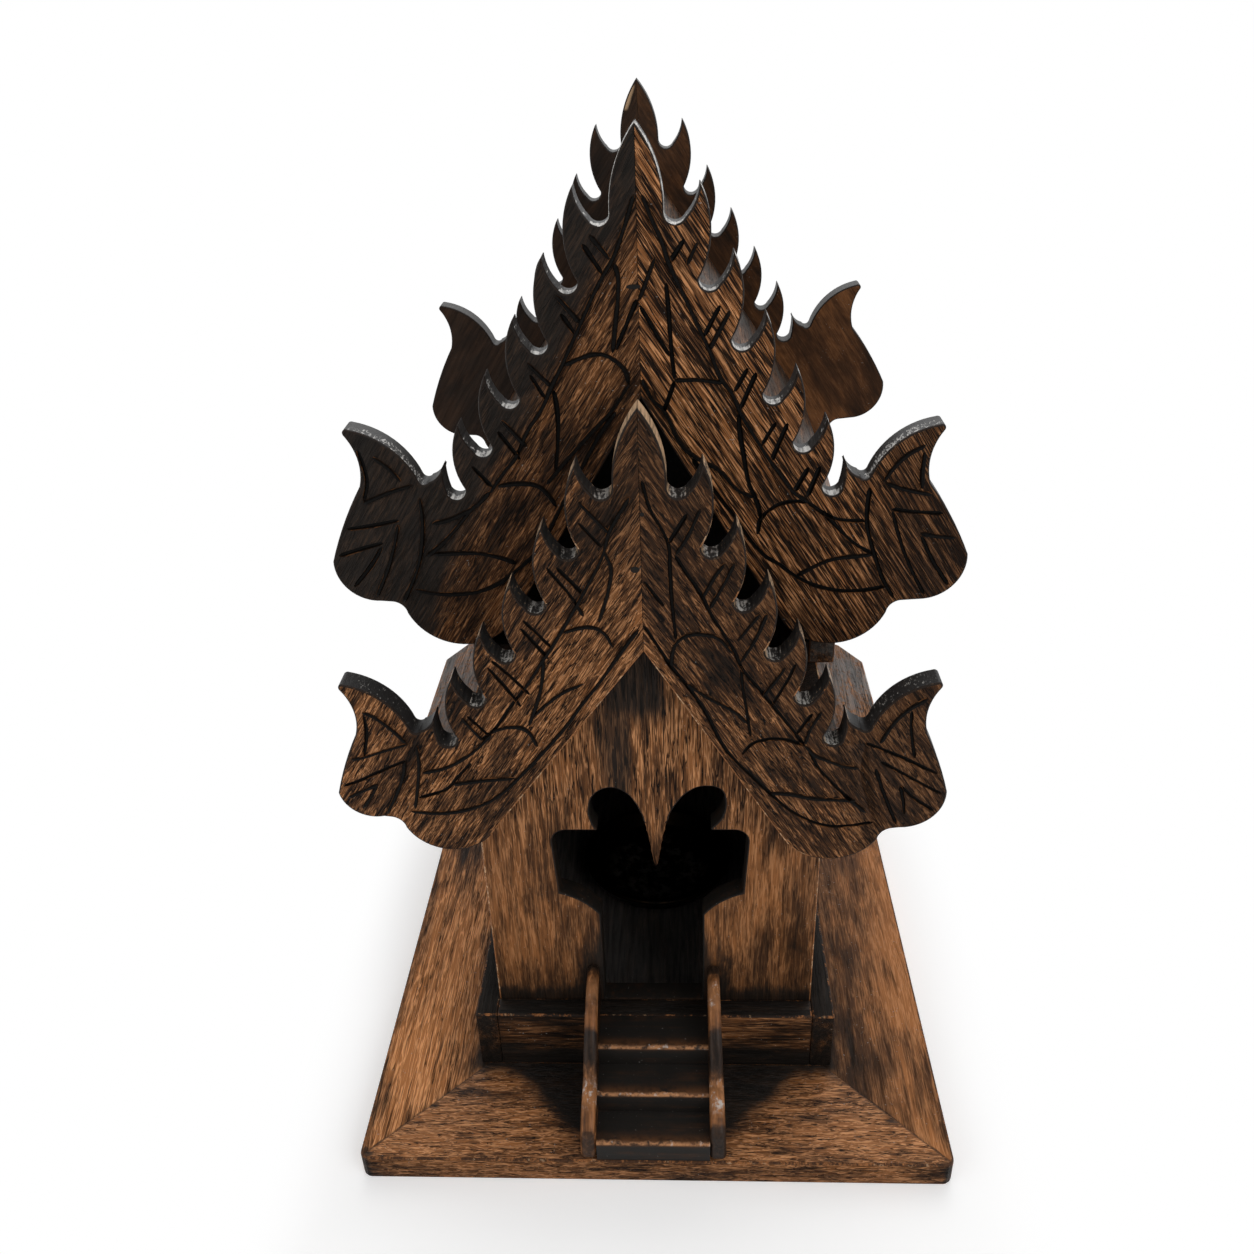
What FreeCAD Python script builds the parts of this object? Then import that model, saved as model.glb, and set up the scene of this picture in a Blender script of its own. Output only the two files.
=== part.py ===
"""Wooden incense burner shaped like a small temple house.

A mitred base carries a plinth, four walls, a porch with its own flame-crested gable and a
short stair.  The hall roof, with a gable at each end, is a lid that lifts off the walls.
A brass dish for the incense stands loose on the floor inside.

Frame, in millimetres: origin on the ground at the middle of the base, X to the right,
Y towards the back, Z up.  The doorway faces -Y.
"""
import FreeCAD, Part
import os
import re

import Sketcher

SIZES = {
    # base and floor
    "base_width": 150.0,
    "base_length": 211.0,
    "base_thick": 7.75,
    "frame_board": 30.0,
    # plinth round the feet of the walls
    "plinth_width": 95.4,
    "plinth_length": 152.4,
    "plinth_height": 19.05,
    "plinth_thick": 5.8,
    # walls: the top is a height above the ground, the porch shoulder lies below it
    "wall_thick": 5.8,
    "wall_top": 116.5,
    "shoulder_drop": 9.5,
    "porch_pitch": 51.3,
    # doorway, heights measured from the top of the plinth
    "door_half": 13.1,
    "jamb_height": 30.7,
    "arm_reach": 24.1,
    "arm_foot": 38.0,
    "arm_head": 58.2,
    "arm_corner": 3.5,
    "lobe_centre": 11.0,
    "lobe_height": 66.0,
    "lobe_radius": 4.8,
    "tongue_tip": 48.2,
    "head_shift": 1.2,
    # stair
    "stair_half": 14.2,
    "stair_setback": 0.4,
    "nosing_radius": 1.0,
    "rail_thick": 4.2,
    "rail_foot": 9.5,
    "rail_wave": 14.9,
    "rail_head": 32.3,
    # gable boards: the foot lies below the wall top, other heights are measured from the foot
    "gable_thick": 6.0,
    "gable_drop": 35.7,
    "gable_height": 113.0,
    "rake_apex": 58.6,
    "first_notch": 7.6,
    "first_notch_height": 94.2,
    "tooth_drop": 13.6,
    "tooth_lean": 5.0,
    "tooth_rise": 7.6,
    "notch_radius": 2.1,
    "ear_nose": 1.0,
    "seam": 0.1,
    # the rear gable leans to the left about a point above its foot
    "rear_lean": 2.1,
    "rear_pivot": 26.0,
    # roof boards, and the sloping eaves beside the porch
    "roof_thick": 5.5,
    "eave_width": 15.8,
    "eave_drop": 14.5,
    "eave_pitch": 18.0,
    "eave_length": 52.0,
    "eave_thick": 5.0,
    "eave_clip": 6.0,
    # hall roof, the lid
    "hall_setback": 25.75,
    "storey": 47.9,
    "hall_pitch": 55.9,
    "hall_overhang": 2.5,
    "cheek_overhang": 4.1,
    "cheek_height": 23.7,
    "cheek_thick": 6.5,
    "batten_width": 6.5,
    "batten_height": 6.0,
    "ridge_strip_half": 6.0,
    "lid_gap": 0.3,
    # incense dish
    "dish_radius": 24.0,
    "dish_height": 9.5,
    "dish_wall": 1.6,
    "dish_foot": 15.0,
    "dish_gap": 0.2,
}

# The gable halves were sawn by hand, so each one has its own spread, ear and lobe
HALF_SIZES = ("pitch", "ease", "ear_out", "ear_height", "lobe_out", "heel", "toe", "low", "rake")
GABLE_HALVES = {
    "lower_left": (7.5, 0.30, 23.0, 50.2, 4.7, 13.6, 11.8, 3.3, 36.5),
    "lower_right": (6.86, 0.30, 22.8, 49.7, 4.1, 10.0, 11.8, 0.4, 31.7),
    "upper_left": (6.92, 0.38, 23.8, 52.3, 7.2, 10.0, 12.9, -2.2, 32.0),
    "upper_right": (6.86, 0.37, 23.5, 51.2, 8.3, 9.0, 14.3, -2.8, 32.0),
}
for half, numbers in GABLE_HALVES.items():
    for name, number in zip(HALF_SIZES, numbers):
        SIZES[f"{half}_{name}"] = number

TOOTH_COUNT = 5
STEP_COUNT = 3

doc = FreeCAD.newDocument("incense_burner")
sheet = doc.addObject("Spreadsheet::Sheet", "Sizes")
for row, (alias, number) in enumerate(SIZES.items(), start=1):
    sheet.set(f"A{row}", alias)
    sheet.set(f"B{row}", str(number))
    sheet.setAlias(f"B{row}", alias)
doc.recompute()


def named(expression):
    """Write the sheet's name before every alias in an expression."""
    return re.sub(r"[a-z_]+", lambda word: "Sizes." + word[0] if word[0] in SIZES else word[0], expression)


def value(expression):
    """Give the number that an expression on the sheet stands for."""
    return float(sheet.evalExpression(expression))


def sizes(*names):
    """Give the numbers of several sizes."""
    return [value("Sizes." + name) for name in names]


# Places that several pieces share, as expressions on the sheet
PLINTH_TOP = named("( base_thick + plinth_height )")
PLINTH_HALF = named("( plinth_width / 2 )")
PLINTH_BACK = named("( plinth_length / 2 )")
WALL_OUTER = named("( plinth_width / 2 - plinth_thick )")
WALL_INNER = named("( plinth_width / 2 - plinth_thick - wall_thick )")
WALL_BACK = named("( plinth_length / 2 - plinth_thick )")
ROOM_BACK = named("( plinth_length / 2 - plinth_thick - wall_thick )")
FRAME_INNER = named("( base_width / 2 - frame_board )")
FRAME_BACK = named("( base_length / 2 - frame_board )")
STAIR_FRONT = named("( - base_length / 2 + stair_setback )")
STEP_RISE = named(f"( plinth_height / {STEP_COUNT} )")
STEP_GOING = f"( ( - {PLINTH_BACK} - {STAIR_FRONT} ) * 0.97 / {STEP_COUNT} )"
SHOULDER = named("( wall_top - shoulder_drop )")
PORCH_SLOPE = named("tan( porch_pitch * 1deg )")
PORCH_RIDGE = f"( {SHOULDER} + {WALL_OUTER} * {PORCH_SLOPE} )"
PORCH_DROP = named("( roof_thick / cos( porch_pitch * 1deg ) )")
LID_FOOT = named("( wall_top + lid_gap )")
CHEEK_OUTER = f"( {WALL_OUTER} + Sizes.cheek_overhang )"
CHEEK_INNER = f"( {CHEEK_OUTER} - Sizes.cheek_thick )"
HALL_SLOPE = named("tan( hall_pitch * 1deg )")
HALL_DROP = named("( roof_thick / cos( hall_pitch * 1deg ) )")
HALL_UNDER = f"( {LID_FOOT} + Sizes.cheek_height + {CHEEK_OUTER} * {HALL_SLOPE} )"
HALL_RIDGE = f"( {HALL_UNDER} + {HALL_DROP} )"
HALL_FRONT = f"( - {WALL_BACK} + Sizes.hall_setback )"
GABLE_FOOT = named("( wall_top - gable_drop )")
HALF_SEAM = named("( seam / 2 )")


def place(piece, x="0", y="0", z="0"):
    """Bind a piece's position to expressions."""
    piece.setExpression("Placement.Base.x", x)
    piece.setExpression("Placement.Base.y", y)
    piece.setExpression("Placement.Base.z", z)
    return piece


def box(label, x, y, z):
    """Make a straight board between two bounds on each axis."""
    piece = doc.addObject("Part::Box", label)
    for side, (low, high) in zip(("Length", "Width", "Height"), (x, y, z)):
        piece.setExpression(side, f"{high} - {low}")
    return place(piece, x[0], y[0], z[0])


def new_sketch(body, role, name):
    """Attach an empty sketch to one of a body's own origin planes."""
    sketch = body.newObject("Sketcher::SketchObject", name)
    plane = next(item for item in body.Origin.OriginFeatures if item.Role == role)
    sketch.AttachmentSupport = [(plane, "")]
    sketch.MapMode = "FlatFace"
    return sketch


def draw_polygon(sketch, corners):
    """Draw a closed outline whose corners are bound to expressions."""
    points = [FreeCAD.Vector(value(x), value(y), 0) for x, y in corners]
    count = len(points)
    for index, point in enumerate(points):
        sketch.addGeometry(Part.LineSegment(point, points[(index + 1) % count]), False)
    for index in range(count):
        sketch.addConstraint(Sketcher.Constraint("Coincident", index, 2, (index + 1) % count, 1))
    for index, corner in enumerate(corners):
        for kind, expression in zip(("DistanceX", "DistanceY"), corner):
            datum = Sketcher.Constraint(kind, -1, 1, index, 1, value(expression))
            number = sketch.addConstraint(datum)
            sketch.renameConstraint(number, f"{kind}{index}")
            sketch.setExpression(f"Constraints.{kind}{index}", expression)


def draw_path(sketch, edges):
    """Draw lines and arcs: each edge is its start, an optional point on the arc, and its end."""
    for edge in edges:
        points = [FreeCAD.Vector(x, y, 0) for x, y in edge]
        curve = Part.LineSegment(*points) if len(points) == 2 else Part.Arc(*points)
        sketch.addGeometry(curve, False)


def pad(body, sketch, depth):
    """Give a sketch its thickness."""
    solid = body.newObject("PartDesign::Pad", body.Label + "_pad")
    solid.Profile = sketch
    solid.setExpression("Length", depth)
    doc.recompute()
    return solid


def prism(label, role, corners, depth):
    """Make a board of one bound outline: XY rises, XZ runs towards -Y, YZ towards +X."""
    body = doc.addObject("PartDesign::Body", label)
    sketch = new_sketch(body, role, label + "_outline")
    draw_polygon(sketch, corners)
    pad(body, sketch, depth)
    return body


def cut_through(body, sketch):
    """Cut a sketch right through a board, on the side where the board lies."""
    before = body.Shape.Volume
    pocket = body.newObject("PartDesign::Pocket", body.Label + "_cut")
    pocket.Profile = sketch
    pocket.Type = "ThroughAll"
    pocket.Reversed = True
    doc.recompute()
    if not body.Shape.Volume < before - 1:
        raise RuntimeError(f"the cut in {body.Label} removed nothing")


def sided(corners, side):
    """Put an outline for the right side (1) or mirror it to the left (-1)."""
    return corners if side > 0 else [(f"- ( {x} )", y) for x, y in corners]


def add_base():
    """Four mitred boards frame the floor panel."""
    half, back = named("base_width / 2"), named("base_length / 2")
    flat = named("base_thick")
    for label, side in (("base_right", 1), ("base_left", -1)):
        corners = [(half, f"- {back}"), (half, back), (FRAME_INNER, FRAME_BACK)]
        corners.append((FRAME_INNER, f"- {FRAME_BACK}"))
        prism(label, "XY_Plane", sided(corners, side), flat)
    for label, sign in (("base_front", "-"), ("base_back", "")):
        outer, inner = f"{sign} {back}", f"{sign} {FRAME_BACK}"
        corners = [(f"- {half}", outer), (half, outer)]
        corners += [(FRAME_INNER, inner), (f"- {FRAME_INNER}", inner)]
        prism(label, "XY_Plane", corners, flat)
    box(
        "floor_panel",
        (f"- {FRAME_INNER}", FRAME_INNER),
        (f"- {FRAME_BACK}", FRAME_BACK),
        ("0", flat),
    )


def add_plinth():
    """Side boards run full length, so their end grain shows; front and back fit between."""
    tall = (named("base_thick"), PLINTH_TOP)
    whole = (f"- {PLINTH_BACK}", PLINTH_BACK)
    between = (f"- {WALL_OUTER}", WALL_OUTER)
    box("plinth_left", (f"- {PLINTH_HALF}", f"- {WALL_OUTER}"), whole, tall)
    box("plinth_right", (WALL_OUTER, PLINTH_HALF), whole, tall)
    box("plinth_front", between, (f"- {PLINTH_BACK}", f"- {WALL_BACK}"), tall)
    box("plinth_back", between, (WALL_BACK, PLINTH_BACK), tall)


def door_outline():
    """Trefoil-headed doorway: jambs, two arms, two round lobes and a tongue between them."""
    sill = value(PLINTH_TOP)
    jamb, reach, corner, radius = sizes("door_half", "arm_reach", "arm_corner", "lobe_radius")
    lobe, shift = sizes("lobe_centre", "head_shift")
    heights = sizes("jamb_height", "arm_foot", "arm_head", "lobe_height", "tongue_tip")
    jamb_top, foot, head, lobe_z, tip = (sill + height for height in heights)
    eased = corner * (1 - 0.5 ** 0.5)
    edges = [((-jamb, sill), (jamb, sill))]
    for side in (1, -1):
        centre = lobe + side * shift
        fork = (centre + 0.6 * radius, head)
        leave = (centre - 0.6 * radius, lobe_z + 0.8 * radius)
        tongue = (side * shift, tip)
        half = [
            ((jamb, sill), (jamb, jamb_top)),
            (
                (jamb, jamb_top),
                (jamb + 0.42 * (reach - jamb), jamb_top + 0.64 * (foot - jamb_top)),
                (reach - 0.9, foot),
            ),
            ((reach - 0.9, foot), (reach, head - corner)),
            ((reach, head - corner), (reach - eased, head - eased), (reach - corner, head)),
            ((reach - corner, head), fork),
            (fork, (centre + 0.8 * radius, lobe_z + 0.6 * radius), leave),
            (leave, (tongue[0] + 0.4 * (leave[0] - tongue[0]), tip + 0.6 * (leave[1] - tip)), tongue),
        ]
        edges += [tuple((side * x, z) for x, z in edge) for edge in half]
    return edges


def add_walls():
    """Plain side and back walls, and a gabled front wall with the doorway cut through it."""
    tall = (named("base_thick"), named("wall_top"))
    room = (f"- {ROOM_BACK}", ROOM_BACK)
    box("left_wall", (f"- {WALL_OUTER}", f"- {WALL_INNER}"), room, tall)
    box("right_wall", (WALL_INNER, WALL_OUTER), room, tall)
    box("back_wall", (f"- {WALL_OUTER}", WALL_OUTER), (ROOM_BACK, WALL_BACK), tall)
    corners = [(f"- {WALL_OUTER}", tall[0]), (WALL_OUTER, tall[0]), (WALL_OUTER, SHOULDER)]
    corners += [("0", PORCH_RIDGE), (f"- {WALL_OUTER}", SHOULDER)]
    wall = prism("front_wall", "XZ_Plane", corners, named("wall_thick"))
    sketch = new_sketch(wall, "XZ_Plane", "doorway")
    draw_path(sketch, door_outline())
    cut_through(wall, sketch)
    place(wall, y=f"- {ROOM_BACK}")


def add_stair():
    """Three treads with worn nosings, each a board behind the one below, up to the plinth."""
    half = named("stair_half")
    for index, label in enumerate(("step_lower", "step_middle", "step_upper")):
        front = f"{STAIR_FRONT} + {index} * {STEP_GOING}"
        low = f"Sizes.base_thick + {index} * {STEP_RISE}"
        corners = [(front, low), (f"- {PLINTH_BACK}", low)]
        corners += [(f"- {PLINTH_BACK}", f"{low} + {STEP_RISE}"), (front, f"{low} + {STEP_RISE}")]
        step = prism(label, "YZ_Plane", corners, f"2 * {half}")
        nosing = FreeCAD.Vector(value(half), value(front), value(f"{low} + {STEP_RISE}"))
        block = step.Tip
        edges = block.Shape.Edges
        nearest = min(range(len(edges)), key=lambda n: edges[n].CenterOfMass.distanceToPoint(nosing))
        worn = step.newObject("PartDesign::Fillet", label + "_nosing")
        worn.Base = (block, [f"Edge{nearest + 1}"])
        worn.setExpression("Radius", named("nosing_radius"))
        place(step, x=f"- {half}")


def rail_outline():
    """Side view of a stair rail: a foot, two waves up to the wall, and a heel over the plinth."""
    ground, top = value("Sizes.base_thick"), value(PLINTH_TOP)
    front, plinth, wall = value(STAIR_FRONT), value(f"- {PLINTH_BACK}"), value(f"- {WALL_BACK}")
    foot, wave, head = (ground + height for height in sizes("rail_foot", "rail_wave", "rail_head"))
    trough = (front + 0.33 * (wall - front), wave)
    upper = (trough[0] + 0.3 * (wall - trough[0]), wave + 0.62 * (head - wave))
    lower = (front + 0.5 * (trough[0] - front), foot + 0.72 * (wave - foot))
    return [
        ((front, ground), (plinth, ground)),
        ((plinth, ground), (plinth, top)),
        ((plinth, top), (wall, top)),
        ((wall, top), (wall, head)),
        ((wall, head), upper, trough),
        (trough, lower, (front, foot)),
        ((front, foot), (front, ground)),
    ]


def add_rails():
    """A wavy rail stands on each side of the stair."""
    for label, inner in (
        ("stair_rail_right", named("stair_half")),
        ("stair_rail_left", named("- stair_half - rail_thick")),
    ):
        body = doc.addObject("PartDesign::Body", label)
        sketch = new_sketch(body, "YZ_Plane", label + "_outline")
        draw_path(sketch, rail_outline())
        pad(body, sketch, named("rail_thick"))
        place(body, x=inner)


def flame_crest(pitch, ease):
    """Crest of a half gable: a tall flame at the seam, then a falling row of curling teeth."""
    tip = (value(HALF_SEAM), value("Sizes.gable_height"))
    notch_x, notch_z, drop = sizes("first_notch", "first_notch_height", "tooth_drop")
    lean, rise, radius = sizes("tooth_lean", "tooth_rise", "notch_radius")
    edges = []
    for index in range(TOOTH_COUNT + 1):
        x = notch_x + index * pitch
        z = notch_z - index * drop + index * index * ease
        left = (x - radius, z + 1.15 * radius)
        right = (x + radius, z + 0.55 * radius)
        fall = tip[1] - left[1]
        bulge = (tip[0] + left[0]) / 2 + (0.13 * fall if index else 1.5)
        edges.append((tip, (bulge, left[1] + 0.52 * fall), left))
        edges.append((left, (x, z), right))
        if index < TOOTH_COUNT:
            tip = (x + lean, z + rise)
            edges.append((right, ((right[0] + tip[0]) / 2 + 0.5, (right[1] + tip[1]) / 2 - 0.35), tip))
    return edges


def gable_outline(half):
    """Outline of a half gable, drawn to the right: crest, spur, ear, lobes and inner rake."""
    seam, apex, nose = value(HALF_SEAM), value("Sizes.rake_apex"), value("Sizes.ear_nose")
    own = sizes(*(f"{half}_{name}" for name in HALF_SIZES))
    pitch, ease, ear_out, ear_height, lobe_out, heel_height, toe_in, low, rake = own
    edges = flame_crest(pitch, ease)
    last, start = edges[-1][1], edges[-1][2]
    spur = (last[0] + 2.8, last[1] + 7.8)
    dip = (last[0] + 7.1, last[1] + 3.8)
    ear = (last[0] + ear_out, ear_height)
    brow, chin = (ear[0] - 1.1 * nose, ear[1] + 0.45 * nose), (ear[0], ear[1] - 0.9 * nose)
    neck = (ear[0] - 1.9, ear[1] - 13.0)
    side = (ear[0] + lobe_out, 20.5)
    heel = (side[0] - 10.0, heel_height)
    toe = (side[0] - toe_in, heel_height - 0.25)
    cut = (toe[0] - 3.0, toe[1] - 3.1)
    inner = (rake, low + 6.5)
    before, after = (dip[0] - 1.1, dip[1] + 0.6), (dip[0] + 1.2, dip[1] + 0.8)
    crown = ((dip[0] + ear[0]) / 2 - 1.2, (dip[1] + ear[1]) / 2 + 2.8)
    return edges + [
        (start, ((start[0] + spur[0]) / 2 + 0.2, (start[1] + spur[1]) / 2 - 0.5), spur),
        (spur, (spur[0] + 1.3, (spur[1] + dip[1]) / 2 - 0.3), before),
        (before, dip, after),
        (after, crown, brow),
        (brow, (ear[0] - 0.1 * nose, ear[1] + 0.25 * nose), chin),
        (chin, (ear[0] - 2.5, ear[1] - 7.8), neck),
        (neck, (neck[0] + 0.57 * (side[0] - neck[0]), (neck[1] + side[1]) / 2), side),
        (side, (side[0] - 2.6, heel[1] + 0.29 * (side[1] - heel[1])), heel),
        (heel, toe),
        (toe, ((toe[0] + cut[0]) / 2 - 0.5, (toe[1] + cut[1]) / 2 + 0.5), cut),
        (cut, ((cut[0] + inner[0]) / 2 - 0.6, low), inner),
        (inner, (seam, apex)),
        ((seam, apex), edges[0][0]),
    ]


def add_gable(label, pattern, front, foot, lean="0"):
    """A gable board sawn in two halves that meet on the centre line."""
    shift = f"Sizes.rear_pivot * sin( {lean} * 1deg )"
    for word, side in (("right", 1), ("left", -1)):
        body = doc.addObject("PartDesign::Body", f"{label}_{word}")
        sketch = new_sketch(body, "XZ_Plane", body.Label + "_outline")
        outline = gable_outline(f"{pattern}_{word}")
        draw_path(sketch, [tuple((side * x, z) for x, z in edge) for edge in outline])
        pad(body, sketch, named("gable_thick"))
        body.Placement.Rotation = FreeCAD.Rotation(FreeCAD.Vector(0, -1, 0), value(lean))
        body.setExpression("Placement.Rotation.Angle", f"{lean} * 1deg")
        place(body, shift, f"{front} + Sizes.gable_thick", foot)


def slope_board(label, side, ridge, slope, drop, outer, front, back):
    """A roof board between the ridge and its lower edge, both cut upright."""
    corners = [(HALF_SEAM, f"{ridge} - {HALF_SEAM} * {slope}")]
    corners.append((outer, f"{ridge} - {outer} * {slope}"))
    corners.append((outer, f"{ridge} - {outer} * {slope} - {drop}"))
    corners.append((HALF_SEAM, f"{ridge} - {HALF_SEAM} * {slope} - {drop}"))
    board = prism(label, "XZ_Plane", sided(corners, side), f"{back} - {front}")
    return place(board, y=back)


def ridge_strip(label, under, slope, front, back):
    """A three-cornered strip glued into the angle under a ridge."""
    half = named("ridge_strip_half")
    foot = f"{under} - {half} * {slope}"
    corners = [(f"- {half}", foot), (half, foot), ("0", under)]
    place(prism(label, "XZ_Plane", corners, f"{back} - {front}"), y=back)


def add_porch():
    """Steep boards between the side walls, with a sloping eave outside each wall."""
    front, back = f"- {ROOM_BACK}", f"( {HALL_FRONT} - Sizes.lid_gap )"
    for label, side in (("porch_roof_right", 1), ("porch_roof_left", -1)):
        slope_board(label, side, PORCH_RIDGE, PORCH_SLOPE, PORCH_DROP, WALL_INNER, front, back)
    under = f"( {PORCH_RIDGE} - {PORCH_DROP} )"
    ridge_strip("porch_ridge_strip", under, PORCH_SLOPE, front, back)
    reach, edge = f"( {WALL_OUTER} + Sizes.eave_width )", named("( wall_top - eave_drop )")
    rise = named("eave_width * tan( eave_pitch * 1deg )")
    drop = named("eave_thick / cos( eave_pitch * 1deg )")
    for label, side in (("porch_eave_right", 1), ("porch_eave_left", -1)):
        corners = [(WALL_OUTER, f"{edge} + {rise}"), (reach, edge)]
        corners += [(reach, f"{edge} - {drop}"), (WALL_OUTER, f"{edge} + {rise} - {drop}")]
        board = prism(label, "XZ_Plane", sided(corners, side), named("eave_length"))
        clip = [(reach, "0"), (reach, "- Sizes.eave_clip"), (f"{reach} - Sizes.eave_clip", "0")]
        sketch = new_sketch(board, "XY_Plane", label + "_corner")
        draw_polygon(sketch, sided(clip, side))
        cut_through(board, sketch)
        place(board, y=f"- {WALL_BACK} + Sizes.eave_length")


def add_lid():
    """Hall roof: boards on two cheeks and a back panel, with battens that drop inside the walls."""
    shelf = f"{LID_FOOT} + Sizes.cheek_height"
    eave = f"( {CHEEK_OUTER} + Sizes.hall_overhang )"
    length = f"{ROOM_BACK} - {HALL_FRONT}"
    drop, head = named("wall_top - batten_height"), f"{LID_FOOT} + Sizes.batten_height"
    tongue, inside = f"( {WALL_INNER} - Sizes.lid_gap )", f"( {CHEEK_INNER} - Sizes.batten_width )"
    cheek = [(CHEEK_INNER, LID_FOOT), (CHEEK_OUTER, LID_FOOT), (CHEEK_OUTER, shelf)]
    cheek.append((CHEEK_INNER, f"{shelf} + Sizes.cheek_thick * {HALL_SLOPE}"))
    lip = [(inside, drop), (tongue, drop), (tongue, LID_FOOT)]
    lip += [(CHEEK_INNER, LID_FOOT), (CHEEK_INNER, head), (inside, head)]
    for word, side in (("right", 1), ("left", -1)):
        label = f"hall_roof_{word}"
        slope_board(label, side, HALL_RIDGE, HALL_SLOPE, HALL_DROP, eave, HALL_FRONT, WALL_BACK)
        board = prism(f"hall_cheek_{word}", "XZ_Plane", sided(cheek, side), length)
        place(board, y=ROOM_BACK)
        board = prism(f"lid_batten_{word}", "XZ_Plane", sided(lip, side), f"{length} - 2 * Sizes.lid_gap")
        place(board, y=f"{ROOM_BACK} - Sizes.lid_gap")
    panel = [(f"- {CHEEK_OUTER}", LID_FOOT), (CHEEK_OUTER, LID_FOOT), (CHEEK_OUTER, shelf)]
    panel += [("0", HALL_UNDER), (f"- {CHEEK_OUTER}", shelf)]
    place(prism("hall_back_panel", "XZ_Plane", panel, named("wall_thick")), y=WALL_BACK)
    ridge_strip("hall_ridge_strip", HALL_UNDER, HALL_SLOPE, HALL_FRONT, ROOM_BACK)


def add_dish():
    """Turned brass dish: a foot ring, a flared bowl and a thickened rim."""
    section = [
        ("0", "dish_wall / 2"),
        ("dish_foot - 2 * dish_wall", "dish_wall / 2"),
        ("dish_foot - 2 * dish_wall", "0"),
        ("dish_foot", "0"),
        ("dish_foot", "dish_wall"),
        ("dish_radius - 1.6 * dish_wall", "dish_height * 0.45"),
        ("dish_radius - dish_wall / 2", "dish_height - dish_wall"),
        ("dish_radius", "dish_height - dish_wall / 2"),
        ("dish_radius - dish_wall / 2", "dish_height"),
        ("dish_radius - 1.5 * dish_wall", "dish_height - dish_wall / 2"),
        ("dish_radius - 2.8 * dish_wall", "dish_height * 0.5"),
        ("dish_foot - dish_wall", "1.5 * dish_wall"),
        ("0", "1.5 * dish_wall"),
    ]
    body = doc.addObject("PartDesign::Body", "incense_dish")
    sketch = new_sketch(body, "XZ_Plane", "dish_section")
    draw_polygon(sketch, [(named(x), named(z)) for x, z in section])
    turned = body.newObject("PartDesign::Revolution", "turned_dish")
    turned.Profile = sketch
    turned.ReferenceAxis = (sketch, ["V_Axis"])
    turned.Angle = 360
    place(body, z=named("base_thick + dish_gap"))


def write_parts():
    """Check every object, then write one file for each sub-part."""
    doc.recompute()
    broken = [item.Name for item in doc.Objects if {"Invalid", "Error"} & set(item.State)]
    if broken:
        raise RuntimeError(f"these objects failed: {broken}")
    pieces = [item for item in doc.Objects if item.TypeId in ("Part::Box", "PartDesign::Body")]
    for piece in pieces:
        if piece.Shape.isNull() or not piece.Shape.isValid() or len(piece.Shape.Solids) != 1:
            raise RuntimeError(f"{piece.Label} is not one valid solid")
    os.makedirs("parts", exist_ok=True)
    for piece in pieces:
        piece.Shape.exportStep(f"parts/{piece.Label}.step")
    print(f"{len(pieces)} parts written")


add_base()
add_plinth()
add_walls()
add_stair()
add_rails()
add_gable("lower_gable", "lower", f"- {WALL_BACK} - Sizes.gable_thick", GABLE_FOOT)
add_porch()
add_lid()
add_gable("upper_front_gable", "upper", f"{HALL_FRONT} - Sizes.gable_thick", f"{GABLE_FOOT} + Sizes.storey")
add_gable("upper_back_gable", "upper", WALL_BACK, f"{GABLE_FOOT} + Sizes.storey", named("rear_lean"))
add_dish()
write_parts()
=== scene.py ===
"""Looks of a wooden incense burner carved like a small temple house.

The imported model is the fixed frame. Each board is copied from it, gets eased and worn edges and
wood with its own grain, the gables get their incised lines, and a plain studio stands round it.
"""

import math

import bpy
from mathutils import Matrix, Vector


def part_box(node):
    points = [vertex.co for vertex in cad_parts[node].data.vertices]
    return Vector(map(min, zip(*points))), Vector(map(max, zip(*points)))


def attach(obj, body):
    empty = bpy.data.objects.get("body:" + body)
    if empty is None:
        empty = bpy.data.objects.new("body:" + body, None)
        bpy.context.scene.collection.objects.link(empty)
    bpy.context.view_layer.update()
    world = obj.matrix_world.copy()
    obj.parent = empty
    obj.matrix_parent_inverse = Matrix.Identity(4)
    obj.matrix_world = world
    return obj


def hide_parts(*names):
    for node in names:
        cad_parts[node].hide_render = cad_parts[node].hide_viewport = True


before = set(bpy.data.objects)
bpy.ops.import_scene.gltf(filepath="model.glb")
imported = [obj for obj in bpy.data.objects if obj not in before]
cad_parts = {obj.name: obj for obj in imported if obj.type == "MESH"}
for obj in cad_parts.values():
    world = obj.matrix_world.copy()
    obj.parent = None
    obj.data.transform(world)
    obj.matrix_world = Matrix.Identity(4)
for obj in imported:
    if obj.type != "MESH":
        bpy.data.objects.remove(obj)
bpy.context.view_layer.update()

bl_info = {
    "name": "Carved incense burner",
    "version": (1, 0, 0),
    "blender": (4, 5, 0),
    "location": "View3D > Sidebar > Burner",
    "description": "Boards, carving, dish and studio of a temple-house incense burner",
    "category": "Object",
}

MM = 0.001

# Angle in degrees above which an edge counts as sharp
SHARP = 38

# Turns that lay the X axis on the grain; the grain of a gable half follows its slope
X_GRAIN = (0.0, 0.0, 0.0)
Y_GRAIN = (0.0, 0.0, math.radians(90))
Z_GRAIN = (0.0, math.radians(90), 0.0)
RAIL_GRAIN = (0.0, math.radians(-38), math.radians(90))
LEFT_GRAIN = (0.0, math.radians(-57), 0.0)
RIGHT_GRAIN = (0.0, math.radians(57), 0.0)

# Material slots: wood, worn edges, then soot inside or the front of the base; gables have four more
WOOD, EDGE, OTHER = range(3)
# Of the gables' four, the third is a painted highlight on the apex edges of the upper front gable
LINE, SAWN, PALE_HIGHLIGHT, RAKE = range(2, 6)

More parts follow.
